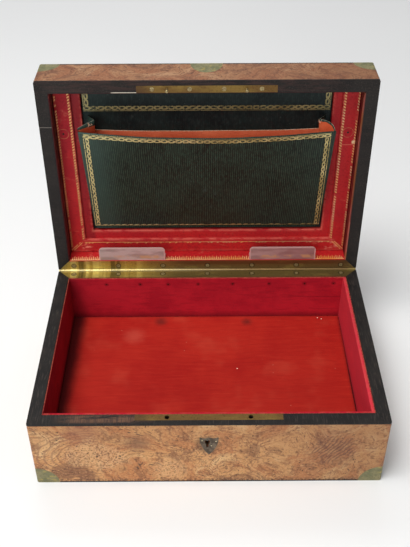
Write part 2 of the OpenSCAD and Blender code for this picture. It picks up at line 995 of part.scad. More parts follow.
module at_clip_screws()
    for (x = [-clip_x, clip_x], dx = [-clip_screw_dx, clip_screw_dx])
        translate([x + dx, axis_y - clip_foot_u - clip_t, axis_z + clip_screw_v])
            rotate([90, 0, 0])
                children();

// An angle of sheet metal: a foot on the wall and a round-cornered tab that stands up from it
module mirror_clips()
    color(nickel)
        opened()
            difference() {
                for (x = [-clip_x, clip_x])
                    translate([x, 0, 0]) {
                        lid_block([-clip_l / 2, clip_l / 2], [clip_foot_u, clip_foot_u + clip_t],
                                  [clip_v, clip_v + clip_foot_d]);
                        translate([0, axis_y - clip_foot_u, axis_z + clip_v])
                            mirror([0, 1, 0])
                                linear_extrude(clip_t)
                                    clip_tab();
                    }
                at_clip_screws() screw(small_screw_l, screw_gap);
            }

module clip_tab() {
    square_h = clip_h - clip_r;
    translate([-clip_l / 2, 0])
        square([clip_l, square_h]);
    translate([-clip_l / 2 + clip_r, 0])
        square([clip_l - 2 * clip_r, clip_h]);
    for (side = [-1, 1])
        translate([side * (clip_l / 2 - clip_r), square_h])
            circle(clip_r);
}

module clip_screws()
    color(nickel)
        opened() at_clip_screws() screw(small_screw_l);

// Letter pocket

module pocket_back_leaf()
    color(orange)
        opened()
            lid_block([-leaf_half, leaf_half], [pocket_foot_u, pocket_foot_u + back_leaf_l],
                      [leaf_v, panel_v]);

module pocket_foot_strip()
    color(teal)
        opened()
            lid_block([-leaf_half, leaf_half], [foot_strip_u, foot_strip_u + foot_strip_t],
                      [pocket_axis_v, panel_v]);

// Places a shape that stands on the pocket's foot, with its height along -Y
module on_pocket_front()
    translate([0, axis_y - pocket_foot_u, axis_z + pocket_axis_v])
        rotate([pocket_open, 0, 0])
            children();

function pocket_half(s) = pocket_foot_half + (pocket_mouth_half - pocket_foot_half) * s;
function pocket_point(i, j, face) =
    let (s = j / rise_steps, across = 2 * i / bow_steps - 1)
    [across * pocket_half(s), -pocket_l * s,
     face * pocket_t / 2 - pocket_bow * s * (1 - across * across)];

row_n = bow_steps + 1;
sheet_n = row_n * (rise_steps + 1);
function sheet_index(face, i, j) = face * sheet_n + j * row_n + i;
function quad(a, b, c, d) = [[a, b, c], [a, c, d]];

// The bowed board: an outer and an inner sheet of points with the four edges closed
module pocket_board() {
    points = [for (face = [-1, 1], j = [0:rise_steps], i = [0:bow_steps]) pocket_point(i, j, face)];
    inner = [for (j = [0:rise_steps - 1], i = [0:bow_steps - 1])
        each quad(sheet_index(1, i, j), sheet_index(1, i + 1, j),
                  sheet_index(1, i + 1, j + 1), sheet_index(1, i, j + 1))];
    outer = [for (j = [0:rise_steps - 1], i = [0:bow_steps - 1])
        each quad(sheet_index(0, i, j), sheet_index(0, i, j + 1),
                  sheet_index(0, i + 1, j + 1), sheet_index(0, i + 1, j))];
    foot_and_mouth = [for (i = [0:bow_steps - 1])
        each concat(
            quad(sheet_index(1, i + 1, 0), sheet_index(1, i, 0),
                 sheet_index(0, i, 0), sheet_index(0, i + 1, 0)),
            quad(sheet_index(1, i, rise_steps), sheet_index(1, i + 1, rise_steps),
                 sheet_index(0, i + 1, rise_steps), sheet_index(0, i, rise_steps)))];
    sides = [for (j = [0:rise_steps - 1])
        each concat(
            quad(sheet_index(1, 0, j), sheet_index(1, 0, j + 1),
                 sheet_index(0, 0, j + 1), sheet_index(0, 0, j)),
            quad(sheet_index(1, bow_steps, j + 1), sheet_index(1, bow_steps, j),
                 sheet_index(0, bow_steps, j), sheet_index(0, bow_steps, j + 1)))];
    polyhedron(points, concat(inner, outer, foot_and_mouth, sides));
}

module pocket_front()
    color(teal)
        opened() on_pocket_front() pocket_board();

// A triangle of thin leather between three points
module leather_triangle(a, b, c)
    hull()
        for (p = [a, b, c])
            translate(p)
                sphere(gusset_t / 2, $fn = 8);

// A bellows gusset at the right end: two triangles that fold inwards
module gusset() {
    mouth = pocket_l - gusset_front_drop;
    front_y_in = -pocket_foot_u - mouth * cos(pocket_open);
    front_z_in = pocket_axis_v - mouth * sin(pocket_open) + pocket_t / 2 + gusset_t;
    foot = [leaf_half - gusset_inset, -pocket_foot_u - gusset_foot_rise, leaf_v - gusset_t];
    back = [leaf_half - gusset_inset, -pocket_foot_u - back_leaf_l - gusset_back_rise,
            leaf_v - gusset_t];
    front = [leaf_half, front_y_in, front_z_in];
    fold = [leaf_half - gusset_fold_in, front_y_in - gusset_fold_rise, (front_z_in + leaf_v) / 2];
    leather_triangle(foot, back, fold);
    leather_triangle(foot, fold, front);
}

module pocket_gussets()
    color(teal)
        opened()
            translate([0, axis_y, axis_z])
                both_sides() gusset();

base_front_wall();
base_back_wall();
mirror([1, 0, 0]) base_side_wall();  // base_left_wall
base_side_wall();  // base_right_wall
base_bottom_board();
base_front_veneer();
base_back_veneer();
mirror([1, 0, 0]) base_side_veneer();  // base_left_veneer
base_side_veneer();  // base_right_veneer
base_rim_banding();
base_stringing();
base_front_lining();
base_back_lining();
mirror([1, 0, 0]) base_side_lining(left_lining_t);  // base_left_lining
base_side_lining(lining_t);  // base_right_lining
false_floor();
floor_bearers();
base_hinge_leaf();
hinge_pin();
base_hinge_screws();
lock_case();
lock_plate();
drill_pin();
lock_bolt();
escutcheon();
escutcheon_pins();
base_front_mounts();
base_back_mounts();
lid_front_wall();
lid_back_wall();
opened() mirror([1, 0, 0]) lid_side_wall();  // lid_left_wall
opened() lid_side_wall();  // lid_right_wall
lid_top_board();
lid_front_veneer();
lid_back_veneer();
lid_side_veneers();
lid_top_veneer();
lid_rim_banding();
lid_stringing();
lid_leather_lining();
liner_battens();
liner_frame();
liner_step();
lid_back_panel();
tooled_panel();
mirror_clips();
clip_screws();
lid_hinge_leaf();
lid_hinge_screws();
link_plate();
link_studs();
link_screws();
lid_front_mounts();
lid_back_mounts();
lid_centre_mount();
pocket_back_leaf();
pocket_front();
pocket_gussets();
pocket_foot_strip();
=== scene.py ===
import json
import math
import random

import bmesh
import bpy
from mathutils import Matrix, Vector, noise


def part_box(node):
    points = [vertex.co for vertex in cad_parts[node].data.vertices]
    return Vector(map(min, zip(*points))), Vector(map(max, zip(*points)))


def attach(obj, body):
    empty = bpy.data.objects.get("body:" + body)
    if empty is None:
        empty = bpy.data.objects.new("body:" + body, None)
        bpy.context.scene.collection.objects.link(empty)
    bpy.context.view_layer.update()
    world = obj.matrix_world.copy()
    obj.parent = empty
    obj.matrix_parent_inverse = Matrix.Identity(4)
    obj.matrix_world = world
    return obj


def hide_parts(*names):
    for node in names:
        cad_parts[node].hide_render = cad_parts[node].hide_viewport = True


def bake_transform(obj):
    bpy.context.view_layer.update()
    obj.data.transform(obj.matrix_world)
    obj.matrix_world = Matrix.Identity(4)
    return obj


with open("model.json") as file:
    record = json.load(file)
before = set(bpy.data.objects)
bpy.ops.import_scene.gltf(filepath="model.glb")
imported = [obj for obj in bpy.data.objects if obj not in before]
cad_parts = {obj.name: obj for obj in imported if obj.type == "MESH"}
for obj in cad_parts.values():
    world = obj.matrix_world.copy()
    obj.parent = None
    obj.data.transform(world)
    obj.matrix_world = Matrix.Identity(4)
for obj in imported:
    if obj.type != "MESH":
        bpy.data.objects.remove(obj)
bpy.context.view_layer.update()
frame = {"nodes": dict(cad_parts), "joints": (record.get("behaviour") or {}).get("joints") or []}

MM = 0.001

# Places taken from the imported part
JOINTS = {joint["name"]: joint for joint in frame["joints"]}
HINGE = Vector(JOINTS["lid_hinge"]["pos_m"]) / MM
LID_OPEN = math.radians(JOINTS["lid_hinge"]["range_deg"][1])
LID_U = Vector((0, -math.cos(LID_OPEN), math.sin(LID_OPEN)))
LID_V = Vector((0, math.sin(LID_OPEN), math.cos(LID_OPEN)))


def low(node):
    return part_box(node)[0] / MM


def high(node):
    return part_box(node)[1] / MM


def lid_u(point):
    """Distance from the hinge's axis, for a point of the open lid."""
    return (point - HINGE).dot(LID_U)


def lid_point(x, u, v):
    """A place on the open lid: u is the distance from the hinge's axis, v the depth from its plane."""
    return HINGE + Vector((x, 0, 0)) + u * LID_U + v * LID_V


FRONT_Y = low("base_rim_banding").y
BASE_H = high("base_rim_banding").z
IN_X = high("base_front_lining").x
BACK_LINING_Y = low("base_back_lining").y
RIGHT_LINING_X = low("base_right_lining").x
FLOOR_Z = high("false_floor").z
FLOOR_RIGHT = high("false_floor").x
FLOOR_BACK = high("false_floor").y
FRAME_HALF = high("liner_frame").x
FRAME_FOOT_U = lid_u(low("liner_frame"))
FRAME_HEAD_U = lid_u(high("liner_frame"))
STEP_OUT = high("liner_step").x
PANEL_HALF = high("tooled_panel").x

# Sizes of the liner and the pocket, as the part has them. A name that ends in U is a distance from
# the hinge's axis, and one in V is a depth from its plane.
FRAME_V = 16.5
FRAME_BACK_V = 19.5
BAND_W = 16.6
STEP_W = 9
PANEL_V = 24.15
WALL_U = 12.8
WALL_X = IN_X - 0.8
TOOLED_V = 18.5
TOOLED_FOOT_U = 178.3
POCKET_OPEN = math.radians(15.1)
POCKET_L = 133
POCKET_FOOT_HALF = 119.2
POCKET_MOUTH_HALF = 121.4
POCKET_BOW = 9
POCKET_T = 2
POCKET_FOOT_U = 45
POCKET_AXIS_V = 20.35
LEAF_HALF = 117.5
LEAF_V = 21.95
LEAF_L = 112

# The hinge's screws, the mirror clips and the button marks
LEAF_SCREW_U = 6
LEAF_PITCH = 47.7
CLIP_X = 80
CLIP_HALF_L = 35
CLIP_TOP_U = 28.6
BUTTON_X = 139.3
BUTTON_U = 155.5

# Marks on the base: two smudges, a faded spot and a few specks on its floor, tack holes in its
# back lining, the middle of a painted shadow round the escutcheon, and the middles of the patches on its
# front
SMUDGES = [(-51, 85, FLOOR_Z), (43, 84, FLOOR_Z)]
FADED_SPOT = (-79, 62, FLOOR_Z)
SPECKS = [(30, 12, FLOOR_Z), (125, 88, FLOOR_Z), (121, 90, FLOOR_Z)]
TACK_XS = [-108, -72, -42, -10, 27, 66, 104, 135]
TACK_Z = BASE_H - 8.6
ESCUTCHEON_SHADOW_CENTRE = (-1.5, FRONT_Y, 52)
RUDDY_CLOUD = (-112, FRONT_Y, 70)
GREY_CLOUD = (-64, FRONT_Y, 54)
PALE_PATCH = (-104, FRONT_Y, 36)
SECOND_PATCH = (-36, FRONT_Y, 18)
RIBBED_PATCH = (112, FRONT_Y, 44)

# Marks on the lid: a joint in its side rims, a lifted splinter on its upper rim, torn spots on
# the liner frame as x, distance from the hinge and radius, and a seam in the frame
RIM_JOINT_U = 168.5
SPLINTER_U = 206.3
TORN_SPOTS = [(-131, 19.4, 3), (-126, 19.4, 1), (135, 25, 2), (131, 17, 2.5), (139, 20, 1)]
SEAM_U = 142


# Materials


def srgb(red, green, blue):
    """A display colour from 0 to 255 as a shader colour."""
    shares = [c / 255 for c in (red, green, blue)]
    linear = [((c + 0.055) / 1.055) ** 2.4 if c > 0.04 else c / 12.92 for c in shares]
    return (*linear, 1)


class Value:
    """Something that a material's nodes work out, with the arithmetic for numbers."""

    def __init__(self, paint, socket):
        self.paint = paint
        self.socket = socket

    def math(self, operation, other=0.0):
        return self.paint.add("Math", {0: self, 1: other}, operation=operation)

    def __add__(self, other):
        return self.math("ADD", other)

    def __sub__(self, other):
        return self.math("SUBTRACT", other)

    def __mul__(self, other):
        return self.math("MULTIPLY", other)

    def __mod__(self, other):
        return self.math("FLOORED_MODULO", other)

    def __abs__(self):
        return self.math("ABSOLUTE")

    def sine(self):
        return self.math("SINE")

    def larger(self, other):
        return self.math("MAXIMUM", other)

    def step(self, start, end):
        """0 before start and 1 past end, with a soft change between."""
        inputs = {"Value": self, "From Min": start, "From Max": end}
        return self.paint.add("MapRange", inputs, interpolation_type="SMOOTHSTEP")

    def band(self, middle, half, soft):
        """1 within half of the middle value, falling to 0 over soft."""
        return abs(self - middle).step(half + soft, half)


class Paint:
    """One material, laid down coat by coat. Sizes and places are in millimetres."""

    def __init__(self, name, slot, **finish):
        self.material = bpy.data.materials.new(name)
        self.slot = slot
        self.material.use_nodes = True
        self.tree = self.material.node_tree
        self.shader = self.tree.nodes["Principled BSDF"]
        for key, value in finish.items():
            self.shader.inputs[key.replace("_", " ")].default_value = value
        place = self.add("TexCoord", {}, "Object")
        self.at = self.vector("SCALE", place, Scale=1 / MM)
        self.x, self.y, self.z = self.split(self.at)
        away = self.vector("SUBTRACT", self.at, tuple(HINGE))
        self.u = self.vector("DOT_PRODUCT", away, tuple(LID_U), output=1)
        self.v = self.vector("DOT_PRODUCT", away, tuple(LID_V), output=1)
        self.normal = None

    def add(self, kind, inputs, output=0, **settings):
        """Adds a node, sets it up and gives back one of its outputs."""
        node = self.tree.nodes.new("ShaderNode" + kind)
        for key, value in settings.items():
            setattr(node, key, value)
        for key, value in inputs.items():
            self.feed(node.inputs[key], value)
        return Value(self, node.outputs[output])

    def feed(self, socket, value):
        if isinstance(value, Value):
            self.tree.links.new(value.socket, socket)
        else:
            socket.default_value = value

    def vector(self, operation, a, b=None, output=0, **extra):
        inputs = {0: a, **extra}
        if b is not None:
            inputs[1] = b
        return self.add("VectorMath", inputs, output, operation=operation)

    def split(self, at):
        return [self.add("SeparateXYZ", {0: at}, axis) for axis in range(3)]

    def distance(self, place, at=None, stretch=(1, 1, 1)):
        away = self.vector("SUBTRACT", at or self.at, tuple(place))
        return self.vector("LENGTH", self.vector("MULTIPLY", away, stretch), output=1)

    def noise(self, size, detail=2.0, roughness=0.5, at=None, stretch=(1, 1, 1), output=0):
        at = self.vector("MULTIPLY", at or self.at, stretch)
        inputs = {"Vector": at, "Scale": 1 / size, "Detail": detail, "Roughness": roughness}
        return self.add("TexNoise", inputs, output)

    def cells(self, size, at=None, feature="F1"):
        inputs = {"Vector": at or self.at, "Scale": 1 / size}
        return self.add("TexVoronoi", inputs, "Distance", feature=feature)

    def warp(self, at, size, reach):
        """Shifts a place by smooth noise, by up to half of reach."""
        push = self.noise(size, 1.5, at=at, output=1)
        push = self.vector("SUBTRACT", push, (0.5, 0.5, 0.5))
        return self.vector("ADD", at, self.vector("SCALE", push, Scale=2 * reach))

    def spot(self, centre, radius, soft, ragged=0.0):
        """A round patch about a point, with a ragged edge."""
        away = self.distance(centre)
        if ragged:
            away = self.noise(radius, 3) * ragged + away
        return away.step(radius + soft, radius)

    def mix(self, amount, first, second):
        """Blends two colours; a plain one is red, green and blue from 0 to 255."""
        pair = [srgb(*color) if isinstance(color, tuple) else color for color in (first, second)]
        return self.add("Mix", {0: amount, 6: pair[0], 7: pair[1]}, 2, data_type="RGBA")

    def ground(self, amount, first, second):
        """The lowest coat: two colours blended by amount."""
        self.coat = self.mix(amount, first, second)
        self.feed(self.shader.inputs["Base Color"], self.coat)

    def tint(self, mask, color, share=1.0):
        """Lays a colour over the coats below where mask is 1, at a share of its full strength."""
        self.ground(mask if share == 1 else mask * share, self.coat, color)

    def rough(self, value):
        self.feed(self.shader.inputs["Roughness"], value)

    def metal(self, value):
        self.feed(self.shader.inputs["Metallic"], value)

    def bump(self, height, depth, strength):
        inputs = {"Height": height, "Distance": depth * MM, "Strength": strength}
        if self.normal is not None:
            inputs["Normal"] = self.normal
        self.normal = self.add("Bump", inputs)
        self.feed(self.shader.inputs["Normal"], self.normal)


def front_figure(paint, mottle, dark):
    """On the base's front: arcs round a pale patch of dots at the left, slanted ribs at the right."""
    near = paint.warp(paint.at, 22, 6)
    x, y, z = paint.split(near)
    paint.tint(paint.spot(RUDDY_CLOUD, 8, 20, 6), (150, 90, 66), 0.5)
    paint.tint(paint.spot(GREY_CLOUD, 5, 15, 6), (112, 78, 56), 0.6)

    away = paint.distance(PALE_PATCH, at=near, stretch=(1, 0, 1.7))
    patch = away.step(34, 24)
    pale = patch.larger(paint.spot(SECOND_PATCH, 10, 16, 8))
    broken = pale * mottle.step(0.66, 0.40)
    paint.tint(broken, (218, 170, 120), 0.7)
    waves = away.sine().step(0.1, 1.0)
    left_side = x.step(-92, -108) * away.band(44, 12, 8)
    in_front = y.step(FRONT_Y + 14, FRONT_Y + 8)
    arcs = waves * left_side * in_front
    paint.tint(arcs, (124, 76, 56), 0.5)
    freckles = paint.cells(2.5, at=near).step(0.36, 0.20) * pale
    paint.tint(freckles, (72, 42, 30), 0.62)
    eyes = paint.cells(7.5, at=near).step(0.16, 0.10) * patch
    paint.tint(eyes, dark, 0.85)

    ribbed = paint.spot(RIBBED_PATCH, 14, 20, 10)
    across = mottle * 2.2 + x * 0.85 - z * 0.55
    ribs = (across * 1.9).sine().step(-0.2, 0.7)
    paint.tint(ribbed, (138, 84, 56), 0.3)
    ribs = ribs * ribbed * paint.noise(8, 2, at=near).step(0.3, 0.62)
    paint.tint(ribs, (88, 52, 44), 0.8)


def burl_paint(name, pale, tan, ruddy, brown, dark, shift, gloss):
    """Walnut burl: swirling fibres and arcs, clusters of dark eyes, a fine pale and dark mottle, and painted
    shade towards the right.
    """
    paint = Paint(name, "burl_veneer", Coat_Weight=gloss, Coat_Roughness=0.3, Specular_IOR_Level=0.3)
    at = paint.vector("ADD", paint.at, shift)
    bent = paint.warp(paint.warp(at, 60, 46), 17, 9)
    flow = paint.noise(6, 4, 0.62, at=bent, stretch=(0.25, 1, 1))
    mottle = paint.noise(2.3, 4, 0.7, at=at)
    patch = paint.noise(34, 3, 0.6, at=bent)
    blush = paint.noise(28, 3, 0.6, at=paint.vector("ADD", bent, (90, 40, 10)))
    rings = (paint.noise(46, 1.5, at=bent) * 90).sine()

    paint.ground(patch.step(0.50, 0.68), tan, pale)
    paint.tint(blush.step(0.46, 0.62), ruddy, 0.75)
    paint.tint(patch.step(0.45, 0.33), brown, 0.75)
    paint.tint(flow.step(0.50, 0.64), brown, 0.62)
    paint.tint(flow.step(0.45, 0.32), pale, 0.25)
    arcs = rings.step(0.35, 1.0) * paint.noise(12, 3, at=at).step(0.42, 0.58)
    arcs = arcs * mottle.step(0.34, 0.54)
    paint.tint(arcs, brown, 0.7)
    paint.tint(mottle.step(0.53, 0.68), dark, 0.65)
    paint.tint(mottle.step(0.47, 0.32), pale, 0.55)

    cluster = paint.noise(30, 2, at=paint.vector("ADD", at, (13, 71, 5))).step(0.47, 0.57)
    eye = paint.cells(3.3, at=bent)
    pupil = eye.step(0.29, 0.15) * cluster
    dots = paint.cells(4.1, at=at).step(0.17, 0.09)
    paint.tint(dots, dark, 0.6)
    paint.tint(pupil, dark, 0.85)
    big_eye = paint.cells(13, at=at).step(0.09, 0.05)
    paint.tint(big_eye, dark, 0.85)
    front_figure(paint, mottle, dark)
    # painted shade: darker towards the right, away from the light
    paint.tint(paint.x.step(-30, 180), (98, 56, 32), 0.42)
    paint.tint(paint.z.step(34, 76), (128, 74, 42), 0.22)
    # painted shadow round the escutcheon
    paint.tint(paint.spot(ESCUTCHEON_SHADOW_CENTRE, 8.5, 5), dark, 0.5)
    # darker along the foot of the front, broken up by the mottle
    darker_at_foot = paint.z.step(6, 2) * mottle.step(0.44, 0.56)
    paint.tint(darker_at_foot, dark, 0.6)
    paint.rough(mottle * 0.3 + 0.36)
    paint.bump(mottle, 0.08, 0.5)
    paint.bump(pupil, -0.15, 0.6)
    return paint


def carcase_paint():
    paint = Paint("carcase_wood", "carcase_wood")
    at = paint.warp(paint.at, 60, 6)
    grain = paint.noise(3, 5, 0.6, at=at, stretch=(0.08, 1, 1))
    rings = paint.noise(14, 2, at=at, stretch=(0.05, 1, 1))
    paint.ground(rings.step(0.35, 0.65), (142, 92, 58), (112, 68, 42))
    paint.tint(grain.step(0.5, 0.7), (74, 44, 28), 0.6)
    paint.rough(grain * 0.25 + 0.55)
    paint.bump(grain, 0.15, 0.6)
    return paint


def ebony_paint():
    """Dark rims, worn brown along the front of the base and hairline joints across the side rims, with a
    painted highlight on the raised edge of the joint in the left rim.
    """
    paint = Paint("dark_banding", "ebony_wood", Specular_IOR_Level=0.25)
    x, y, u = paint.x, paint.y, paint.u
    streak = paint.noise(2.2, 4, 0.6, stretch=(0.12, 0.12, 1))
    grain = paint.noise(1.1, 3, 0.6, stretch=(1, 0.10, 1))
    cloud = paint.noise(24, 3)
    paint.ground(cloud.step(0.3, 0.7), (21, 18, 17), (31, 28, 26))
    paint.tint(streak.step(0.5, 0.68), (52, 44, 40), 0.3)
    paint.tint(grain.step(0.52, 0.72), (80, 70, 62), 0.55)
    paint.tint(paint.noise(0.9, 2).step(0.70, 0.78), (120, 96, 78), 0.6)
    near_front = y.step(FRONT_Y + 13, FRONT_Y + 9) * y.step(FRONT_Y + 1, FRONT_Y + 4)
    on_left = x.step(-142, -112) * x.step(-44, -66)
    in_base = paint.z.step(BASE_H + 2, BASE_H + 1)
    worn = near_front * on_left * in_base * paint.noise(5, 4, 0.65, stretch=(0.3, 1, 1)).step(0.36, 0.54)
    bare_wood = paint.mix(grain.step(0.4, 0.6), (112, 80, 60), (78, 56, 46))
    paint.tint(worn, bare_wood, 0.85)
    in_lid = u.step(20, 21)
    joint_u = x * 0.010 + u
    joint = joint_u.band(RIM_JOINT_U, 0.15, 0.35) * in_lid
    paint.tint(joint, (8, 6, 6), 0.9)
    # painted highlight on the raised edge beside the joint in the left side rim
    raised_edge_highlight = joint_u.band(RIM_JOINT_U + 0.8, 0.15, 0.3) * in_lid * x.step(0, -1)
    paint.tint(raised_edge_highlight, (132, 124, 116), 0.8)
    splinter = u.band(SPLINTER_U, 0.2, 0.25) * x.band(-69, 19, 2) * paint.v.step(2, 1)
    paint.tint(splinter, (226, 216, 198))
    tinge = x.band(-20, 110, 50) * u.step(205, 208) * streak.step(0.42, 0.6)
    paint.tint(tinge, (66, 44, 40), 0.5)
    paint.rough(streak * 0.3 + 0.40)
    paint.bump(streak, 0.06, 0.6)
    paint.bump(joint, -0.1, 0.6)
    return paint


def screw_rings(paint, radius):
    """Distance to the nearest leaf screw, less the screw's radius, for both leaves of the hinge."""
    along = (paint.x + LEAF_PITCH / 2) % LEAF_PITCH - LEAF_PITCH / 2
    from_base = paint.y - (HINGE.y - LEAF_SCREW_U)
    from_lid = paint.u - LEAF_SCREW_U
    on_lid = paint.z.math("GREATER_THAN", HINGE.z + 1)
    across = on_lid * (from_lid - from_base) + from_base
    return (across * across + along * along).math("SQRT") - radius


def brass_paint():
    """Old brass: golden on the left, brown and olive towards the right in tarnish and painted shade, with
    painted glints on the left, a painted highlight along the knuckle, a painted reflection of the red liner
    on the leaf, and dark round the screws.
    """
    paint = Paint("old_brass", "brass")
    x = paint.x
    cloud = paint.noise(22, 4, 0.6)
    streak = paint.noise(9, 4, 0.6, stretch=(0.25, 1, 1))
    fine = paint.noise(1.8, 4, 0.65)
    scratch = paint.noise(0.5, 2, stretch=(0.03, 1, 1))
    # golden on the left to brown at the right: tarnish, and painted shade away from the light
    tarnish_and_shade = (cloud * 70 + x).step(-62, 10)
    paint.ground(tarnish_and_shade, (196, 168, 88), (136, 110, 70))
    lower = paint.z.step(HINGE.z + 0.6, HINGE.z - 0.4)
    paint.tint(lower, (126, 118, 70), 0.65)
    paint.tint(streak.step(0.52, 0.66), (176, 158, 92), 0.5)
    paint.tint(fine.step(0.5, 0.72), (84, 64, 42), 0.55)
    on_leaf = paint.u.step(14, 13)
    # painted reflection of the red liner across the upper part of the leaf, from the middle to the right
    red_reflection = paint.u.band(9.5, 1.4, 1.6) * on_leaf * x.step(-50, -10)
    paint.tint(red_reflection, (104, 66, 40), 0.5)
    glint = paint.noise(8, 2, 0.5, stretch=(1, 0.03, 0.03))
    on_left = x.step(-45, -105)
    paint.tint(glint.step(0.54, 0.64) * on_left, (240, 226, 150), 0.45)
    paint.tint(glint.step(0.46, 0.38) * on_left, (96, 82, 44), 0.7)
    # painted highlight along the knuckle, strongest on the left
    knuckle_highlight = paint.distance(HINGE, stretch=(0, 1, 1)).step(2.9, 2.3) * x.step(60, -90)
    paint.tint(knuckle_highlight, (190, 184, 150), 0.35)
    rings = screw_rings(paint, 2.4).band(0, 0.3, 0.7) * on_leaf
    paint.tint(rings, (46, 36, 26), 0.7)
    paint.metal(fine * -0.3 + 0.95)
    paint.rough(fine * 0.3 + 0.26)
    paint.bump(scratch, 0.02, 0.5)
    paint.bump(streak, 0.15, 0.3)
    return paint


def plate_paint():
    """The lock's plates: dull olive brass, browner at the left end."""
    paint = Paint("dull_brass", "brass")
    fine = paint.noise(1.6, 4, 0.65)
    cloud = paint.noise(16, 3, 0.6, stretch=(0.4, 1, 1))
    paint.ground(cloud.step(0.38, 0.62), (138, 112, 58), (116, 88, 48))
    paint.tint(paint.x.step(-48, -62), (84, 62, 44), 0.7)
    paint.tint(fine.step(0.5, 0.72), (66, 50, 32), 0.5)
    paint.metal(0.8)
    paint.rough(fine * 0.3 + 0.34)
    paint.bump(fine, 0.03, 0.5)
    return paint


def patina_paint():
    """Brass corners under a green-brown patina, rubbed bright in places."""
    paint = Paint("patinated_brass", "patinated_brass")
    cloud = paint.noise(9, 4, 0.6)
    fine = paint.noise(1.6, 4, 0.65)
    paint.ground(cloud.step(0.38, 0.62), (112, 112, 78), (140, 132, 94))
    paint.tint(fine.step(0.52, 0.72), (84, 72, 50), 0.6)
    rub = paint.noise(6, 3, stretch=(1, 1, 2)).step(0.56, 0.68) * 0.6
    paint.tint(rub, (186, 166, 96))
    paint.metal(rub * 0.5 + 0.35)
    paint.rough(fine * 0.3 + 0.36)
    paint.bump(fine, 0.05, 0.6)
    return paint


def bronze_paint():
    """The escutcheon's dark bronze, in darker and lighter blotches."""
    paint = Paint("dark_bronze", "patinated_brass")
    cloud = paint.noise(4, 4, 0.6)
    fine = paint.noise(1.0, 4, 0.65)
    paint.ground(cloud.step(0.4, 0.62), (82, 71, 60), (122, 108, 92))
    paint.tint(fine.step(0.5, 0.7), (38, 32, 28), 0.6)
    paint.metal(0.75)
    paint.rough(fine * 0.3 + 0.32)
    paint.bump(fine, 0.08, 0.6)
    return paint


def small_metal_paint(name, slot, bright, dull, shine, roughness, size=1.0):
    """Studs, screws, pins and the lock's inner parts: two tones of metal in fine specks."""
    paint = Paint(name, slot)
    fine = paint.noise(size, 4, 0.6)
    paint.ground(fine.step(0.4, 0.7), bright, dull)
    paint.metal(shine)
    paint.rough(fine * 0.3 + roughness)
    return paint


def nickel_paint():
    """Nickel silver, half polished, with wiping marks, a smeared painted reflection of the gold tooling low
    on each clip, painted shade towards the right clip and painted highlights on the bevelled edges.
    """
    paint = Paint("nickel_silver", "nickel_silver")
    smear = paint.noise(6, 3, stretch=(0.3, 1, 1))
    scratch = paint.noise(0.5, 3, stretch=(0.04, 1, 1))
    cloud = paint.noise(14, 3, 0.6)
    paint.ground(smear.step(0.4, 0.65), (216, 206, 200), (184, 166, 160))
    # painted shade towards the right clip
    paint.tint(paint.x.step(-20, 130), (150, 96, 96), 0.75)
    # a smeared painted reflection of the gold tooling, low on each clip
    gold_reflection = paint.u.band(17.0, 1.2, 1.4) * cloud.step(0.44, 0.6)
    paint.tint(gold_reflection, (230, 186, 120), 0.6)
    # painted highlights along the bevelled ends and top edge of each clip
    ends = abs(abs(paint.x) - CLIP_X).step(CLIP_HALF_L - 1.6, CLIP_HALF_L - 1.0)
    top = paint.u.step(CLIP_TOP_U - 1.6, CLIP_TOP_U - 1.0)
    paint.tint(ends.larger(top), (236, 206, 200), 0.75)
    paint.metal(0.45)
    paint.rough(smear * 0.25 + 0.22)
    paint.bump(scratch, 0.015, 0.4)
    return paint


def crimson_paint():
    """Crimson cloth pasted on the lining boards, with a fine weave, dark slubs and rubbed spots, darker
    towards the floor, painted light on the right wall, painted shade along a crease and painted shadow near
    the left wall.
    """
    paint = Paint("crimson_cloth", "crimson_cloth", Specular_IOR_Level=0.12)
    x, z = paint.x, paint.z
    cloud = paint.noise(26, 4, 0.6)
    weave = paint.noise(0.7, 2, 0.6)
    slub = paint.noise(3, 3, 0.6, stretch=(0.15, 0.15, 1))
    paint.ground(cloud.step(0.35, 0.65), (170, 22, 40), (188, 30, 46))
    paint.tint(slub.step(0.48, 0.7), (132, 14, 30), 0.35)
    paint.tint(weave.step(0.5, 0.8), (206, 60, 70), 0.3)
    # darker towards the floor
    darker_near_floor = z.step(FLOOR_Z + 9, FLOOR_Z)
    paint.tint(darker_near_floor, (84, 10, 18), 0.5)
    # painted shade along a crease in the cloth, on the right part of the linings
    crease = z.band(FLOOR_Z + 27, 0.3, 0.8) * x.step(60, 100)
    paint.tint(crease, (96, 10, 22), 0.3)
    # painted light: the right lining faces the light and is lighter
    right_wall_light = x.step(RIGHT_LINING_X - 0.3, RIGHT_LINING_X - 0.1)
    paint.tint(right_wall_light, (228, 66, 80), 0.5)
    # painted shadow near the left wall, on the left lining and the ends of the linings beside it
    left_corner_shadow = (z * 0.15 + x).step(-122, -134)
    paint.tint(left_corner_shadow, (58, 8, 18), 0.38)
    rubbed = z.step(BASE_H - 2.2, BASE_H - 1.5) * paint.noise(7, 4, 0.7).step(0.42, 0.6)
    paint.tint(rubbed, (196, 90, 72), 0.3)
    for tack_x in TACK_XS:
        away = paint.distance((tack_x, BACK_LINING_Y, TACK_Z))
        paint.tint(away.band(2.0, 0.2, 0.5), (66, 10, 16), 0.4)
        paint.tint(away.step(1.5, 0.9), (36, 10, 12), 0.75)
    paint.rough(0.85)
    paint.bump(weave, 0.12, 0.6)
    paint.bump(cloud, 0.8, 0.35)
    return paint


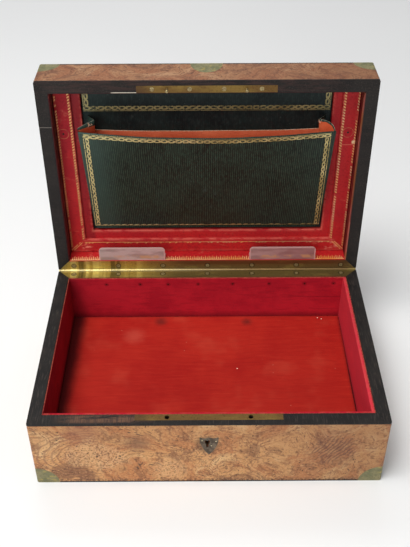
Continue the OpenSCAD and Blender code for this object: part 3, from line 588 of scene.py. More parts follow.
def floor_paint():
    """Orange-red watered cloth: wavy bands across the box, two smudges at the back, a few specks, painted
    shade along the back and right edges and painted shadow along the left.
    """
    paint = Paint("watered_red_cloth", "red_floor", Specular_IOR_Level=0.15)
    x, y = paint.x, paint.y
    drift = paint.noise(40, 3, 0.6, stretch=(0.5, 1, 1))
    wave = (drift * 26 + y * 0.9).sine()
    streak = paint.noise(1.5, 4, 0.65, stretch=(0.08, 1, 1))
    cloud = paint.noise(48, 3)
    paint.ground(cloud.step(0.35, 0.65), (168, 28, 22), (180, 38, 27))
    paint.tint(x.step(0, 140), (158, 26, 20), 0.4)
    paint.tint(wave.step(0.2, 1.0), (140, 17, 16), 0.12)
    paint.tint(streak.step(0.5, 0.7), (196, 56, 40), 0.3)
    paint.tint(streak.step(0.44, 0.28), (130, 14, 14), 0.3)
    paint.tint(paint.spot(FADED_SPOT, 4, 16, 6), (206, 92, 74), 0.4)
    worn = paint.noise(34, 2, 0.5).step(0.54, 0.80)
    paint.tint(worn, (204, 84, 62), 0.25)
    for place, size in ((SMUDGES[0], 3.0), (SMUDGES[1], 2.2)):
        paint.tint(paint.spot(place, size, 9.0, 4.0), (84, 30, 26), 0.65)
    gap = x.step(FLOOR_RIGHT - 1.3, FLOOR_RIGHT - 0.5) * y.step(70, -20)
    paint.tint(gap, (30, 6, 8), 0.9)
    # painted shade along the back and right edges, where the floor meets the linings
    back_edge_shade = y.step(FLOOR_BACK - 2.5, FLOOR_BACK)
    right_edge_shade = x.step(FLOOR_RIGHT - 4, FLOOR_RIGHT)
    paint.tint(back_edge_shade.larger(right_edge_shade), (70, 10, 12), 0.45)
    left_edge = y * 0.03 - 135
    left_shade = (paint.noise(20, 2) * 6 + x - left_edge).step(8, -5)
    paint.tint(left_shade, (50, 8, 14), 0.85)
    for place in SPECKS:
        paint.tint(paint.spot(place, 0.4, 0.5), (236, 206, 186))
    speck = paint.cells(16).step(0.035, 0.02)
    paint.tint(speck, (222, 150, 128), 0.5)
    paint.rough(streak * 0.2 + 0.62)
    paint.bump(streak, 0.12, 0.6)
    return paint


def leather_bump(paint, size, depth):
    """Pebbled grain with creases between the pebbles."""
    pebble = paint.cells(size, at=paint.warp(paint.at, 5, 0.8), feature="SMOOTH_F1")
    paint.bump(pebble, depth, 0.6)
    paint.bump(paint.noise(7, 4, 0.6), depth * 2.5, 0.4)


def red_leather_paint():
    """Red leather with a fine darker mottle, rubbed pink and tan where the mesh says it is worn, and painted
    shade on the lid's inner walls, along the liner's head, under the rim and on the left of the step.
    """
    paint = Paint("red_leather", "red_leather", Specular_IOR_Level=0.3)
    x, u, v = paint.x, paint.u, paint.v
    cloud = paint.noise(30, 4, 0.6)
    fine = paint.noise(2.2, 4, 0.6)
    paint.ground(cloud.step(0.35, 0.65), (170, 18, 32), (188, 30, 34))
    paint.tint(x.step(-60, 150), (180, 28, 32), 0.5)
    paint.tint(u.step(60, 16), (196, 34, 32), 0.5)
    paint.tint(fine.step(0.48, 0.72), (116, 10, 20), 0.5)
    edge_x = WALL_X - 0.3
    wall = abs(x).step(edge_x, edge_x + 0.2)
    # painted shade on the left inner wall of the lid, which faces away from the light
    left_wall_shade = paint.mix(cloud.step(0.4, 0.6), (64, 14, 20), (96, 20, 24))
    # on the right inner wall: faded pink and tan near the rim, with painted shade deeper in
    right_wall_faded_and_shade = paint.mix(cloud.step(0.42, 0.58), (176, 96, 84), (160, 100, 56))
    right_wall_faded_and_shade = paint.mix(v.step(4.5, 6.5), right_wall_faded_and_shade, (96, 10, 14))
    paint.tint(wall, paint.mix(x.step(-1, 1), left_wall_shade, right_wall_faded_and_shade))
    # painted shade along the liner's head, under the upper rim
    paint.tint(u.step(FRAME_HEAD_U - 1.6, FRAME_HEAD_U + 0.2), (44, 10, 14))
    # painted shade on the walls just under the rim's edge, away from the hinge
    paint.tint(v.step(2.2, 0.8) * u.step(60, 61), (60, 14, 16), 0.6)
    # painted shadow of the rim on the left part of the step
    step_left_shadow = x.step(-118, -121) * v.step(FRAME_BACK_V - 1.2, FRAME_BACK_V - 0.8)
    paint.tint(step_left_shadow, (84, 8, 20), 0.45)
    worn = paint.add("Attribute", {}, "Fac", attribute_name="worn", attribute_type="GEOMETRY")
    rubbed = worn * paint.noise(6, 4, 0.7, stretch=(0.5, 1, 1)).step(0.40, 0.56)
    paint.tint(rubbed, (222, 110, 92), 0.5)
    scuff = paint.noise(9, 5, 0.75, stretch=(0.4, 0.4, 1)).step(0.60, 0.70)
    paint.tint(scuff, (206, 104, 84), 0.45)
    fibres = paint.noise(3, 4, 0.7, stretch=(0.4, 1, 1)).step(0.46, 0.58)
    for torn_x, torn_u, radius in TORN_SPOTS:
        torn = paint.spot(lid_point(torn_x, torn_u, FRAME_V), radius, 5, 3) * fibres
        paint.tint(torn, (232, 146, 122), 0.85)
    seam = u.band(SEAM_U, 0.2, 0.3) * x.band(139, 6, 0.5)
    paint.tint(seam, (216, 124, 100), 0.6)
    chip = paint.spot(lid_point(144.6, SEAM_U + 2.8, FRAME_V), 1.6, 1.6, 1.2)
    paint.tint(chip, (238, 208, 160), 0.95)
    paint.rough(fine * 0.25 + 0.42)
    leather_bump(paint, 1.1, 0.12)
    return paint


def green_leather_paint(name, deep, mid, lit, ridged):
    """Dark green straight-grain leather, with fine ridges that run up and down and a painted sheen towards
    the left.
    """
    paint = Paint(name, "green_leather", Specular_IOR_Level=0.22)
    sway = paint.noise(34, 3, 0.6, stretch=(1, 0.3, 0.3))
    comb = (sway * 14 + paint.x * 3.3).sine()
    broken = paint.noise(2.6, 4, 0.65, stretch=(1, 0.5, 0.5))
    ridge = comb * (0.22 * ridged) + broken
    cloud = paint.noise(34, 4, 0.6)
    paint.ground(cloud.step(0.35, 0.65), deep, mid)
    paint.tint(ridge.step(0.42, 0.82), lit, 0.6)
    # painted sheen: lighter towards the left, where the light falls
    paint.tint(paint.x.step(-82, -110), (64, 88, 80), 0.45 * ridged)
    scuff = paint.noise(5, 5, 0.75, stretch=(1, 0.6, 0.6)).step(0.60, 0.74)
    paint.tint(scuff, (84, 100, 98), 0.3)
    speck = paint.noise(1.3, 2).step(0.73, 0.79)
    paint.tint(speck, (120, 132, 120), 0.4)
    paint.rough(broken * 0.3 + 0.36)
    paint.bump(ridge, 0.16, 0.7)
    return paint


def orange_paint():
    """The pocket's orange leather lining."""
    paint = Paint("orange_lining", "orange_lining", Specular_IOR_Level=0.2)
    cloud = paint.noise(24, 4, 0.6)
    fine = paint.noise(1.8, 4, 0.6)
    paint.ground(cloud.step(0.35, 0.65), (214, 96, 58), (230, 116, 74))
    paint.tint(fine.step(0.5, 0.75), (176, 66, 40), 0.35)
    paint.rough(0.6)
    leather_bump(paint, 1.0, 0.08)
    return paint


def gold_paint(name, slot, bright, dull, ground, gone_from):
    """Gold leaf pressed into leather, worn through to the ground in places, with painted shade that dulls it
    from left to right.
    """
    paint = Paint(name, slot)
    wear = paint.noise(2.6, 4, 0.68)
    cloud = paint.noise(26, 2)
    # painted shade: the gold dulls from left to right, away from the light
    dull_away_from_light = paint.x.step(-90, 60)
    paint.ground(cloud.step(0.36, 0.6) * dull_away_from_light, bright, dull)
    gone = wear.step(gone_from, gone_from + 0.10)
    paint.tint(gone, ground, 0.8)
    paint.metal(gone * -0.30 + 0.35)
    paint.rough(wear * 0.3 + 0.3)
    paint.bump(wear, 0.04, 0.6)
    return paint


def thread_paint(name, pale, deep):
    """Twisted cord and frayed threads."""
    paint = Paint(name, "crimson_cloth", Specular_IOR_Level=0.2)
    twist = paint.noise(1.2, 2)
    paint.ground(twist.step(0.4, 0.6), pale, deep)
    paint.rough(0.75)
    paint.bump(twist, 0.2, 0.6)
    return paint


def pale_floor_paint():
    paint = Paint("pale_floor", "stage")
    cloud = paint.noise(300, 2)
    paint.ground(cloud, (236, 236, 236), (240, 240, 239))
    paint.rough(0.9)
    return paint


BURL_TONES = {"pale": (222, 178, 124), "tan": (206, 150, 94), "ruddy": (182, 112, 62),
              "brown": (124, 76, 46), "dark": (50, 29, 19)}
LID_BURL_TONES = {"pale": (182, 142, 106), "tan": (158, 114, 80), "ruddy": (142, 88, 58),
                  "brown": (92, 58, 44), "dark": (40, 26, 22)}

BURL = burl_paint("burl", **BURL_TONES, shift=(0, 0, 0), gloss=0.2)
LID_BURL = burl_paint("lid_burl", **LID_BURL_TONES, shift=(340, 90, 55), gloss=0.1)
CARCASE = carcase_paint()
EBONY = ebony_paint()
BRASS = brass_paint()
BRIGHT_BRASS = small_metal_paint("rubbed_brass", "brass", (232, 220, 178), (150, 132, 96), 0.7, 0.3)
SCREW_BRASS = small_metal_paint("screw_brass", "brass", (176, 158, 112), (104, 88, 60), 0.7, 0.3)
PLATE_BRASS = plate_paint()
DARK_BRASS = small_metal_paint("dark_brass", "brass", (44, 34, 24), (22, 17, 13), 0.7, 0.45, 1.4)
PATINA = patina_paint()
BRONZE = bronze_paint()
STEEL = small_metal_paint("old_steel", "steel", (120, 116, 110), (72, 62, 54), 1.0, 0.35, 1.2)
NICKEL = nickel_paint()
CRIMSON = crimson_paint()
FLOOR = floor_paint()
RED = red_leather_paint()
GREEN = green_leather_paint("green_leather", (17, 28, 22), (28, 42, 34), (66, 86, 70), 1.0)
BACK_GREEN = green_leather_paint("dark_green_leather", (20, 30, 30), (32, 44, 42), (54, 68, 66), 0.2)
ORANGE = orange_paint()
GOLD = gold_paint("gold_on_green", "green_leather", (214, 202, 140), (168, 152, 92), (46, 48, 36), 0.52)
SHADE_GOLD = gold_paint("gold_in_shade", "green_leather", (168, 156, 104), (132, 118, 70), (44, 46, 36), 0.52)
RED_GOLD = gold_paint("gold_on_red", "red_leather", (232, 172, 106), (222, 176, 130), (140, 36, 30), 0.54)
FRINGE_GOLD = gold_paint("fringe_gold", "red_leather", (250, 214, 150), (240, 176, 88), (186, 70, 44), 0.58)
WORN_RING = gold_paint("worn_ring", "red_leather", (190, 100, 70), (176, 76, 60), (120, 24, 26), 0.5)
CORD = thread_paint("edge_cord", (176, 84, 66), (128, 40, 40))
CUT_EDGE = thread_paint("cut_edge", (158, 150, 132), (84, 84, 74))
THREAD = thread_paint("frayed_thread", (250, 220, 190), (226, 160, 120))


# Carried-over nodes


def four(pattern):
    """The names of four like nodes, one on each side of the box."""
    return [pattern.format(side) for side in ("front", "back", "left", "right")]


# Paint, width of the eased edges, and the nodes that get them
PAINTED = [
    (BURL, 0.15, [*four("base_{}_veneer"), "lid_back_veneer", "lid_side_veneers", "lid_top_veneer"]),
    (LID_BURL, 0.15, ["lid_front_veneer"]),
    (CARCASE, 0.2, [*four("base_{}_wall"), *four("lid_{}_wall"), "base_bottom_board",
                    "floor_bearers", "lid_top_board", "liner_battens"]),
    (EBONY, 0.35, ["base_rim_banding", "lid_rim_banding"]),
    (EBONY, 0.2, ["base_stringing", "lid_stringing"]),
    (BRASS, 0.12, ["base_hinge_leaf", "lid_hinge_leaf"]),
    (PLATE_BRASS, 0.12, ["lock_plate", "link_plate"]),
    (DARK_BRASS, 0.1, ["lock_case", "lock_bolt"]),
    (SCREW_BRASS, 0.05, ["base_hinge_screws", "lid_hinge_screws", "link_screws", "link_studs"]),
    (BRIGHT_BRASS, 0.05, ["escutcheon_pins"]),
    (PATINA, 0.15, ["base_front_mounts", "base_back_mounts", "lid_front_mounts", "lid_back_mounts",
                    "lid_centre_mount"]),
    (BRONZE, 0.15, ["escutcheon"]),
    (STEEL, 0.05, ["hinge_pin", "drill_pin"]),
    (NICKEL, 0.25, ["mirror_clips"]),
    (NICKEL, 0.05, ["clip_screws"]),
    (CRIMSON, 0.7, four("base_{}_lining")),
    (FLOOR, 0.4, ["false_floor"]),
    (RED, 0.25, ["lid_leather_lining"]),
    (BACK_GREEN, 0.3, ["lid_back_panel", "tooled_panel"]),
    (GREEN, 0.3, ["pocket_foot_strip"]),
]


def ease(obj, width):
    """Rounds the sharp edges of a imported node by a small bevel."""
    weld = obj.modifiers.new("weld", "WELD")
    weld.merge_threshold = 1e-6
    flat = obj.modifiers.new("flat", "DECIMATE")
    flat.decimate_type = "DISSOLVE"
    flat.angle_limit = math.radians(0.5)
    bevel = obj.modifiers.new("ease", "BEVEL")
    bevel.width = width * MM
    bevel.segments = 2
    bevel.limit_method = "ANGLE"
    bevel.angle_limit = math.radians(35)
    normals = obj.modifiers.new("normals", "WEIGHTED_NORMAL")
    normals.keep_sharp = True


for paint, width, names in PAINTED:
    for name in names:
        node = frame["nodes"][name]
        node.data.materials.clear()
        node.data.materials.append(paint.material)
        ease(node, width)


# Mesh helpers


class Shape:
    """Points and faces that are gathered into one mesh."""

    def __init__(self):
        self.points = []
        self.faces = []
        self.kinds = []
        self.worn = []

    def add(self, points, faces, kind=0, worn=None):
        start = len(self.points)
        self.points += [Vector(p) for p in points]
        self.faces += [[start + i for i in face] for face in faces]
        self.kinds += [kind] * len(faces)
        self.worn += worn or [0.0] * len(points)

    def grid(self, columns, rows, place, kind=0, flip=False):
        """A sheet of quads over columns by rows cells; place takes fractions across and up."""
        points = [place(i / columns, j / rows) for j in range(rows + 1) for i in range(columns + 1)]
        faces = []
        for j in range(rows):
            for i in range(columns):
                a = j * (columns + 1) + i
                quad = [a, a + 1, a + columns + 2, a + columns + 1]
                faces.append(quad[::-1] if flip else quad)
        self.add(points, faces, kind)

    def build(self, name, paints, body, smooth=True, weld=0.0):
        mesh = bpy.data.meshes.new(name)
        mesh.from_pydata([p * MM for p in self.points], [], self.faces)
        for paint in paints:
            mesh.materials.append(paint.material)
        mesh.polygons.foreach_set("material_index", self.kinds)
        mesh.polygons.foreach_set("use_smooth", [smooth] * len(self.faces))
        worn = mesh.attributes.new("worn", "FLOAT", "POINT")
        worn.data.foreach_set("value", self.worn)
        if weld:
            joined = bmesh.new()
            joined.from_mesh(mesh)
            bmesh.ops.remove_doubles(joined, verts=joined.verts, dist=weld * MM)
            bmesh.ops.recalc_face_normals(joined, faces=joined.faces)
            joined.to_mesh(mesh)
            joined.free()
        obj = bpy.data.objects.new(name, mesh)
        bpy.context.scene.collection.objects.link(obj)
        if body:
            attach(obj, body)
        return obj


def ring_faces(count, start):
    """Quads between one ring of points and the next, each of count points; start is the first point."""
    return [[start + i, start + (i + 1) % count, start + count + (i + 1) % count, start + count + i]
            for i in range(count)]


def ripple(x, y, seed=0.0):
    """Smooth uneven height, about one millimetre from crest to hollow."""
    return noise.noise(Vector((x / 38, y / 26, seed)))


# Gold tooling. A strip runs along a line on a surface; place(along, across, lift) puts it there.

FOIL = 0.06
CHAIN_W = 5.3
CHAIN_PITCH = 6.7
CHAIN_LINE = 0.7
CHAIN_GAP = 0.4


def plain_line(shape, place, start, end, across, width):
    """A thin flat line of gold."""
    cells = max(1, round((end - start) / 6))
    shape.grid(cells, 1, lambda i, j: place(start + (end - start) * i, across + width * (j - 0.5), FOIL))


def chain_cell(shape, place, start, pitch, low_edge, high_edge):
    """One link: a plate of gold with a slanted, pointed opening in it."""
    middle = (low_edge + high_edge) / 2
    half_l, half_w, slant = pitch * 0.275, (high_edge - low_edge) * 0.2, 0.12
    rim, hole = [], []
    steps = 16
    for i in range(steps):
        turn = 2 * math.pi * (i + 0.5) / steps
        c, s = math.cos(turn), math.sin(turn)
        stretch = 1 / max(abs(c), abs(s))
        swell = 1 - 0.18 * abs(c * stretch) ** 2
        rim.append((start + pitch / 2 * (1 + c * stretch),
                    middle + (high_edge - low_edge) / 2 * s * stretch * swell))
        along = half_l * c
        hole.append((start + pitch / 2 + along, middle + half_w * s * abs(s) ** 0.2 + slant * along))
    shape.add([place(a, b, FOIL) for a, b in rim + hole], ring_faces(steps, 0))


def chain(shape, place, start, end, outer, inward, gap=CHAIN_GAP):
    """A border: a plain line on its outer side and a chain of pierced links on its inner side."""
    plain_line(shape, place, start, end, outer + inward * CHAIN_LINE / 2, CHAIN_LINE)
    links = max(1, round((end - start) / CHAIN_PITCH))
    pitch = (end - start) / links
    edge = outer + inward * (CHAIN_LINE + gap)
    far = outer + inward * CHAIN_W
    for i in range(links):
        chain_cell(shape, place, start + i * pitch, pitch, min(edge, far), max(edge, far))


def rope(shape, place, start, end, across, width, pitch, keep, seed):
    """A row of slanted strokes, like a twisted rope, with some of them worn away."""
    chance = random.Random(seed)
    strokes = round((end - start) / pitch)
    pitch = (end - start) / strokes
    outline = [(-0.40, -0.5), (-0.02, -0.5), (0.30, -0.12), (0.46, 0.5), (0.08, 0.5), (-0.24, 0.12)]
    for i in range(strokes):
        if chance.random() > keep:
            continue
        middle = start + (i + 0.5) * pitch
        points = [place(middle + a * pitch, across + b * width, FOIL) for a, b in outline]
        shape.add(points, [[0, 1, 2, 5], [5, 2, 3, 4]])


# Letter pocket


def front_half(y):
    """Half the pocket's width, y up from its foot."""
    return POCKET_FOOT_HALF + (POCKET_MOUTH_HALF - POCKET_FOOT_HALF) * y / POCKET_L


def front_point(x, y, out):
    """On the pocket's front: across, up from its foot, and out from its middle surface."""
    across = max(-1.0, min(1.0, x / front_half(y)))
    rise = max(0.0, y / POCKET_L)
    out += POCKET_BOW * rise * (1 - across * across) + 0.7 * rise * ripple(x, y)
    u = POCKET_FOOT_U + y * math.cos(POCKET_OPEN) - out * math.sin(POCKET_OPEN)
    v = POCKET_AXIS_V - y * math.sin(POCKET_OPEN) - out * math.cos(POCKET_OPEN)
    return lid_point(x, u, v)


def make_pocket_front():
    """Leather outside, orange lining inside, with a half-round edge all round."""
    shape = Shape()
    columns, rows, turns = 72, 40, 6
    t = POCKET_T / 2

    def sheet(out):
        def place(i, j):
            y = t + j * (POCKET_L - 2 * t)
            return front_point((2 * i - 1) * (front_half(y) - t), y, out)
        return place

    def edge(x, y, across, up, turn):
        """On the half-round edge beside a point of the sheets; turn goes from 0 inside to 1 outside."""
        angle = math.pi * (turn - 0.5)
        reach = t * math.cos(angle)
        return front_point(x + across * reach, y + up * reach, t * math.sin(angle))

    shape.grid(columns, rows, sheet(t), 0)
    shape.grid(columns, rows, sheet(-t), 1)
    for y, up in ((t, -1), (POCKET_L - t, 1)):
        half = front_half(y) - t
        shape.grid(columns, turns, lambda i, j: edge((2 * i - 1) * half, y, 0, up, j), 0)
        for side in (-1, 1):
            shape.grid(5, turns, lambda i, j: edge(side * half, y, side * math.sin(math.pi / 2 * i),
                                                   up * math.cos(math.pi / 2 * i), j), 0)
    for side in (-1, 1):
        def upright(i, j, side=side):
            y = t + j * (POCKET_L - 2 * t)
            return edge(side * (front_half(y) - t), y, side, 0, i)
        shape.grid(turns, rows, upright, 0)
    obj = shape.build("pocket_front_leather", [GREEN, ORANGE], "pocket", weld=0.01)
    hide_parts("pocket_front")


def make_front_border():
    """Gold borders down both sides, along the mouth and turned under at the foot."""
    shape = Shape()
    t = POCKET_T / 2
    outer, lean = 118.4, 1.6
    mouth = POCKET_L - 0.9

    def upright(side):
        def place(along, across, lift):
            return front_point(side * (across - lean * along / POCKET_L), along, t + lift)
        return place

    def level(along, across, lift):
        return front_point(along, across, t + lift)

    for side in (-1, 1):
        chain(shape, upright(side), 1.2, mouth - CHAIN_W, outer, -1, gap=1.1)
    chain(shape, level, lean - outer, outer - lean, mouth, -1)
    plain_line(shape, level, -outer, outer, 1.1, 0.6)
    rope(shape, level, -outer, outer, 2.2, 1.0, 6.7, 0.85, 3)
    shape.build("pocket_front_tooling", [GOLD], "pocket", smooth=False)


def gusset_rim(side, h):
    """Front edge, fold and back edge of a gusset at a share of its height."""
    lip = 4.6 if side < 0 else 0.6
    y = 6 + h * (POCKET_L - 7 + lip)
    front = front_point(side * (front_half(y) - 1.2), y, -POCKET_T / 2 - 0.3)
    front.x += side * 0.25 * lip * h ** 2
    back = lid_point(side * (LEAF_HALF - 1.2), POCKET_FOOT_U + 8 + h * 119, LEAF_V + 0.8)
    fold_x = side * (LEAF_HALF - 1 - 8.6 * h)
    fold = lid_point(fold_x, POCKET_FOOT_U + 10 + h * 121, LEAF_V - 1.4 - h * 15.2)
    return front, fold, back


def gusset_point(side, t, h, bulge, inset):
    """Across the gusset from its front edge (0) to its back edge (1), at height h.

    The front half bulges away from the pocket's middle by bulge millimetres at the top."""
    front, fold, back = gusset_rim(side, h)
    inward = Vector((-side * inset, -0.4 * inset, 0))
    if t >= 0.5:
        return fold.lerp(back, 2 * t - 1) + inward
    swell = bulge * h * math.sin(math.pi * (2 * t) ** 0.8)
    return front.lerp(fold, 2 * t) + swell * Vector((0.55 * side, 0.75, 0.35)) + inward


def make_gusset(side, bulge, drop, name):
    """A bellows gusset: a leather sheet and an orange lining that stops short of its top edge."""
    shape = Shape()
    columns, rows = 24, 24
    ragged = random.Random(11 if side < 0 else 17)
    frays = [ragged.uniform(0, 0.8) for _ in range(columns + 1)]

    def leather(inset):
        return lambda i, j: gusset_point(side, i, j, bulge, inset)

    def lining(i, j):
        short = drop * (0.25 + 1.5 * min(i, 1 - i)) + frays[round(i * columns)]
        return gusset_point(side, i, j * (1 - short / (POCKET_L - 7)), bulge, 0.9)

    shape.grid(columns, rows, leather(0.0), 0, flip=side > 0)
    shape.grid(columns, rows, leather(0.5), 0, flip=side < 0)
    shape.grid(columns, 1, lambda i, j: gusset_point(side, i, 1.0, bulge, 0.5 * j), 2, flip=side > 0)
    shape.grid(columns, rows, lining, 1, flip=side < 0)
    obj = shape.build(name, [GREEN, ORANGE, CUT_EDGE], None, weld=0.01)
    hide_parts("pocket_gussets")
    lid_point(0, 100, LEAF_V - 1) * MM
    lid_point(0, 100, -6) * MM
    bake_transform(obj)


def make_back_leaf():
    """The pocket's back: orange leather whose upper edge sags a little between its ends."""
    shape = Shape()
    thick = 1.6

    def face(v):
        def place(i, j):
            x = (2 * i - 1) * LEAF_HALF
            sag = 2.6 * (1 - (2 * i - 1) ** 4) + 0.5 * ripple(x, 0, 2.0)
            return lid_point(x, POCKET_FOOT_U + j * (LEAF_L + 0.6 - sag), v)
        return place

    shape.grid(48, 12, face(LEAF_V), 0)
    shape.grid(48, 12, face(LEAF_V + thick), 0, flip=True)
    shape.grid(48, 1, lambda i, j: face(LEAF_V + thick * j)(i, 1), 1)
    shape.grid(48, 1, lambda i, j: face(LEAF_V + thick * j)(i, 0), 0, flip=True)
    for side in (0, 1):
        shape.grid(1, 12, lambda i, j: face(LEAF_V + thick * i)(side, j), 0, flip=side == 0)
    obj = shape.build("pocket_back_lining", [ORANGE, THREAD], "lid", weld=0.01)
    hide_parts("pocket_back_leaf")


def make_frayed_threads():
    """Pale threads that stand up from the torn linings, six at the left gusset and three at the right."""
    shape = Shape()
    chance = random.Random(5)
    for n in range(9):
        t = 0.28 + 0.028 * n + chance.uniform(-0.01, 0.01)
        side = -1 if n < 6 else 1
        base = gusset_point(side, t, 0.97, 0.0, 1.1)
        tip = base + Vector((chance.uniform(-1.6, 1.6), chance.uniform(-1.5, 0.5), chance.uniform(1.8, 4.6)))
        bow = (base + tip) / 2 + Vector((chance.uniform(-0.8, 0.8), -0.5, 0.3))
        radius = 0.34
        rings = []
        for k in range(6):
            f = k / 5
            centre = (1 - f) ** 2 * base + 2 * f * (1 - f) * bow + f * f * tip
            r = radius * (1 - 0.6 * f)
            rings.append([centre + Vector((r * math.cos(a), r * math.sin(a), 0)) for a in (0, 2.1, 4.2)])
        points = [p for ring in rings for p in ring]
        faces = [face for k in range(5) for face in ring_faces(3, 3 * k)]
        shape.add(points, faces)
    shape.build("gusset_frayed_threads", [THREAD], "lid")


# Lid liner


def frame_path(half, foot, head, d):
    """The three-sided run of a liner strip at distance d in from its outer edge."""
    return [(-(half - d), head), (-(half - d), foot + d), (half - d, foot + d), (half - d, head)]


def make_liner_strip(name, node, half, foot, head, profile):
    """Sweeps a padded profile round the foot and both sides; each profile row is (in, depth, worn)."""
    shape = Shape()
    splits = 30
    rows = []
    for d, v, worn in profile:
        corners = frame_path(half, foot, head, d)
        run = []
        for (x0, u0), (x1, u1) in zip(corners, corners[1:]):
            run += [(x0 + (x1 - x0) * k / splits, u0 + (u1 - u0) * k / splits) for k in range(splits)]
        run.append(corners[-1])
        rows.append([(lid_point(x, u, v - 0.12 * ripple(x, u, 4.0)), worn) for x, u in run])
    count = len(rows[0])
    shape.add(
        [p for row in rows for p, _ in row],
        [[j * count + i, j * count + i + 1, (j + 1) * count + i + 1, (j + 1) * count + i]
         for j in range(len(rows) - 1) for i in range(count - 1)],
        worn=[w for row in rows for _, w in row],
    )
    obj = shape.build(name, [RED], "lid")
    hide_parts(node)


def rounded(inner, outer_v, face_v, radius, crown):
    """A strip's profile: a rounded outer edge, a slightly crowned face and a rounded inner edge."""
    profile = [(0.0, outer_v, 0.0)]
    for k in range(5):
        a = math.pi / 2 * k / 4
        profile.append((radius * (1 - math.cos(a)), face_v + radius * (1 - math.sin(a)), 0.8))
    for k in range(1, 8):
        f = k / 8
        d = radius + (inner - 2 * radius) * f
        profile.append((d, face_v - crown * math.sin(math.pi * f), 0.25 if k in (1, 7) else 0.0))
    for k in range(5):
        a = math.pi / 2 * k / 4
        profile.append((inner - radius * (1 - math.sin(a)), face_v + radius * (1 - math.cos(a)), 1.0))
    profile.append((inner, outer_v, 0.0))
    return profile


def make_liner():
    make_liner_strip("liner_frame_leather", "liner_frame", FRAME_HALF, FRAME_FOOT_U, FRAME_HEAD_U,
                     rounded(BAND_W, FRAME_BACK_V, FRAME_V, 0.9, crown=0.25))
    reach = STEP_OUT - (FRAME_HALF - BAND_W - STEP_W)
    foot = FRAME_FOOT_U + FRAME_HALF - STEP_OUT
    make_liner_strip("liner_step_leather", "liner_step", STEP_OUT, foot, FRAME_HEAD_U,
                     rounded(reach, PANEL_V, FRAME_BACK_V, 0.8, crown=0.1))


def make_frame_tooling():
    """A thin line near the frame's outer edge, a rope inside it, and double lines at the mitres."""
    shape = Shape()
    outer_rope, inner_rope, inner_line = 1.5, 14.6, 12.5
    surface_v = FRAME_V - 0.22

    def upright(side):
        def place(along, across, lift):
            return lid_point(side * (FRAME_HALF - across), along, surface_v - lift)
        return place

    def level(along, across, lift):
        return lid_point(along, FRAME_FOOT_U + across, surface_v - lift)

    for side in (-1, 1):
        rope(shape, upright(side), FRAME_FOOT_U + 16, FRAME_HEAD_U, inner_rope, 2.3, 3.0, 0.97, 20 + side)
        rope(shape, upright(side), FRAME_FOOT_U + 6, FRAME_HEAD_U, outer_rope, 1.7, 3.0, 0.94, 30 + side)
    reach = FRAME_HALF - inner_rope - 1
    rope(shape, level, -reach, reach, inner_line - 0.9, 1.0, 3.2, 0.5, 41)
    plain_line(shape, level, -reach, reach, inner_line, 0.7)
    for side in (-1, 1):
        for shift in (-1.8, 0.8):
            def mitre(along, across, lift, side=side, shift=shift):
                x = side * (FRAME_HALF - along - shift - across)
                return lid_point(x, FRAME_FOOT_U + along - across, surface_v - lift)
            plain_line(shape, mitre, 2.4, 12.6, 0.0, 0.65)
    shape.build("liner_frame_tooling", [RED_GOLD], "lid", smooth=False)


def make_wall_fringe():
    """A tooled fringe on the lid's inner wall along the hinge: a line with fine pointed teeth."""
    shape = Shape()
    root, length, pitch = 2.1, 6.0, 2.0
    reach = WALL_X - 2

    def foot(along, across, lift):
        return lid_point(along, WALL_U + lift, across)

    plain_line(shape, foot, -WALL_X + 1, WALL_X - 1, 1.6, 1.0)
    count = round(2 * reach / pitch)
    for i in range(count):
        middle = -reach + (i + 0.5) * 2 * reach / count
        tip = root + length * (1.0 if i % 2 else 0.75)
        outline = ((-0.6, root), (0.6, root), (0.22, tip), (-0.22, tip))
        shape.add([foot(middle + a, b, FOIL) for a, b in outline], [[0, 1, 2, 3]])
    shape.build("lid_wall_fringe", [FRINGE_GOLD], "lid", smooth=False)


def make_button_rings():
    """Ring marks with a screw hole in the middle, where turn-buttons held the mirror."""
    shape = Shape()
    steps = 40
    for side in (-1, 1):
        x = side * BUTTON_X - 1.2
        for inner, outer, lift in ((4.9, 5.5, 0.30), (0.0, 1.0, 0.32)):
            rims = []
            for r in (inner, outer):
                for turn in (2 * math.pi * k / steps for k in range(steps)):
                    across, up = r * math.cos(turn), r * math.sin(turn)
                    rims.append(lid_point(x + across, BUTTON_U + up, FRAME_V - lift))
            shape.add(rims, ring_faces(steps, 0), 0 if inner else 1)
    shape.build("liner_button_marks", [WORN_RING, EBONY], "lid", smooth=False)


def make_tooled_border():
    """The chain border of the panel above the pocket: both sides and the lower edge."""
    shape = Shape()
    outer_x = PANEL_HALF - 0.6
    foot = TOOLED_FOOT_U + 0.5

    def upright(side):
        return lambda along, across, lift: lid_point(side * across, along, TOOLED_V - lift)

    def level(along, across, lift):
        return lid_point(along, across, TOOLED_V - lift)

    for side in (-1, 1):
        chain(shape, upright(side), foot + CHAIN_W, FRAME_HEAD_U - 0.3, outer_x, -1)
    chain(shape, level, -outer_x, outer_x, foot, 1)
    shape.build("tooled_panel_border", [SHADE_GOLD], "lid", smooth=False)


# Base


def tube(shape, path, radius):
    """A closed tube along a list of points that runs level or nearly so."""
    sides = 8
    rings = []
    for k, centre in enumerate(path):
        ahead = (path[min(k + 1, len(path) - 1)] - path[max(k - 1, 0)]).normalized()
        across = ahead.cross(Vector((0, 0, 1))).normalized()
        over = ahead.cross(across)
        rings.append([centre + radius * (math.cos(a) * across + math.sin(a) * over)
                      for a in (2 * math.pi * i / sides for i in range(sides))])
    points = [p for ring in rings for p in ring]
    faces = [face for k in range(len(path) - 1) for face in ring_faces(sides, sides * k)]
    faces += [list(range(sides))[::-1], [sides * (len(path) - 1) + i for i in range(sides)]]
    shape.add(points, faces)


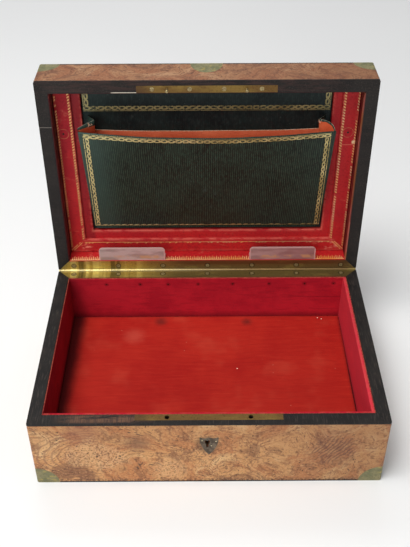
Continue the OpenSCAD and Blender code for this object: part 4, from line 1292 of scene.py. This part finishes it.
def make_lining_cord():
    """A thin cord along the top of the base's linings."""
    shape = Shape()
    back = high("base_back_lining").y - 0.5
    front = low("base_front_lining").y + 0.5
    top = high("base_front_lining").z
    reach = high("base_right_lining").x - 0.5
    corners = [(-reach, front), (-reach, back), (reach, back), (reach, front), (-reach, front)]
    path = []
    for (x0, y0), (x1, y1) in zip(corners, corners[1:]):
        cells = round(math.dist((x0, y0), (x1, y1)) / 4)
        for k in range(cells):
            x, y = x0 + (x1 - x0) * k / cells, y0 + (y1 - y0) * k / cells
            path.append(Vector((x, y, top + 0.25 + 0.12 * ripple(3 * x, 3 * y, 7.0))))
    tube(shape, path, 0.5)
    shape.build("lining_cord", [CORD], "base")


make_pocket_front()
make_front_border()
make_gusset(-1, 0.3, 6.0, "pocket_gusset_left")
make_gusset(1, 4.0, 2.2, "pocket_gusset_right")
make_back_leaf()
make_frayed_threads()
make_liner()
make_frame_tooling()
make_wall_fringe()
make_button_rings()
make_tooled_border()
make_lining_cord()


# Stage


def make_floor():
    """A wide pale floor that only the renders use."""
    shape = Shape()
    reach = 4000
    shape.grid(4, 4, lambda i, j: Vector(((2 * i - 1) * reach, (2 * j - 1) * reach, 0)))
    floor = shape.build("studio_floor", [pale_floor_paint()], None)


def aim(obj, location, target):
    obj.location = location
    obj.rotation_mode = "QUATERNION"
    obj.rotation_quaternion = (Vector(target) - Vector(location)).to_track_quat("-Z", "Y")


def soft_light(name, location, target, size, power, color):
    """A square soft light. Places and size in metres, power in watts."""
    data = bpy.data.lights.new(name, "AREA")
    data.shape = "RECTANGLE"
    data.size, data.size_y = size
    data.energy = power
    data.color = color
    light = bpy.data.objects.new(name, data)
    bpy.context.scene.collection.objects.link(light)
    aim(light, location, target)


def make_lights():
    soft_light("key", (-0.52, -0.45, 1.85), (0, 0, 0.1), (0.95, 0.95), 29, (1.0, 1.0, 0.99))
    soft_light("front", (-0.75, -2.05, 1.0), (0, 0, 0.1), (1.5, 0.8), 14, (1.0, 1.0, 1.0))
    soft_light("back", (-0.2, 1.5, 2.0), (-0.1, 0.9, 0), (1.6, 0.8), 10.5, (1.0, 1.0, 1.0))
    world = bpy.data.worlds.new("studio")
    world.use_nodes = True
    background = world.node_tree.nodes["Background"]
    background.inputs["Color"].default_value = (0.95, 0.97, 1.0, 1)
    background.inputs["Strength"].default_value = 0.31
    bpy.context.scene.world = world


def make_camera():
    """The photograph's view: fitted place in millimetres, angles in degrees, focal length in pixels."""
    place = Vector((-3.7, -597.4, 632.9))
    pitch, yaw, roll = (math.radians(a) for a in (38.404, 0.093, -0.274))
    focal, picture_h, sensor = 832.06, 547, 36
    ahead = Vector((math.sin(yaw) * math.cos(pitch), math.cos(yaw) * math.cos(pitch), -math.sin(pitch)))
    right = Vector((math.cos(yaw), -math.sin(yaw), 0))
    up = right.cross(ahead)
    tilted_right = right * math.cos(roll) + up * math.sin(roll)
    tilted_up = up * math.cos(roll) - right * math.sin(roll)
    data = bpy.data.cameras.new("camera")
    data.sensor_width = sensor
    data.lens = focal * sensor / picture_h
    data.clip_start = 0.01
    camera = bpy.data.objects.new("camera", data)
    bpy.context.scene.collection.objects.link(camera)
    turn = Matrix((tilted_right, tilted_up, -ahead)).transposed()
    camera.matrix_world = Matrix.Translation(place * MM) @ turn.to_4x4()
    bpy.context.scene.camera = camera


make_floor()
make_lights()
make_camera()
bpy.context.scene.view_settings.view_transform = "Standard"
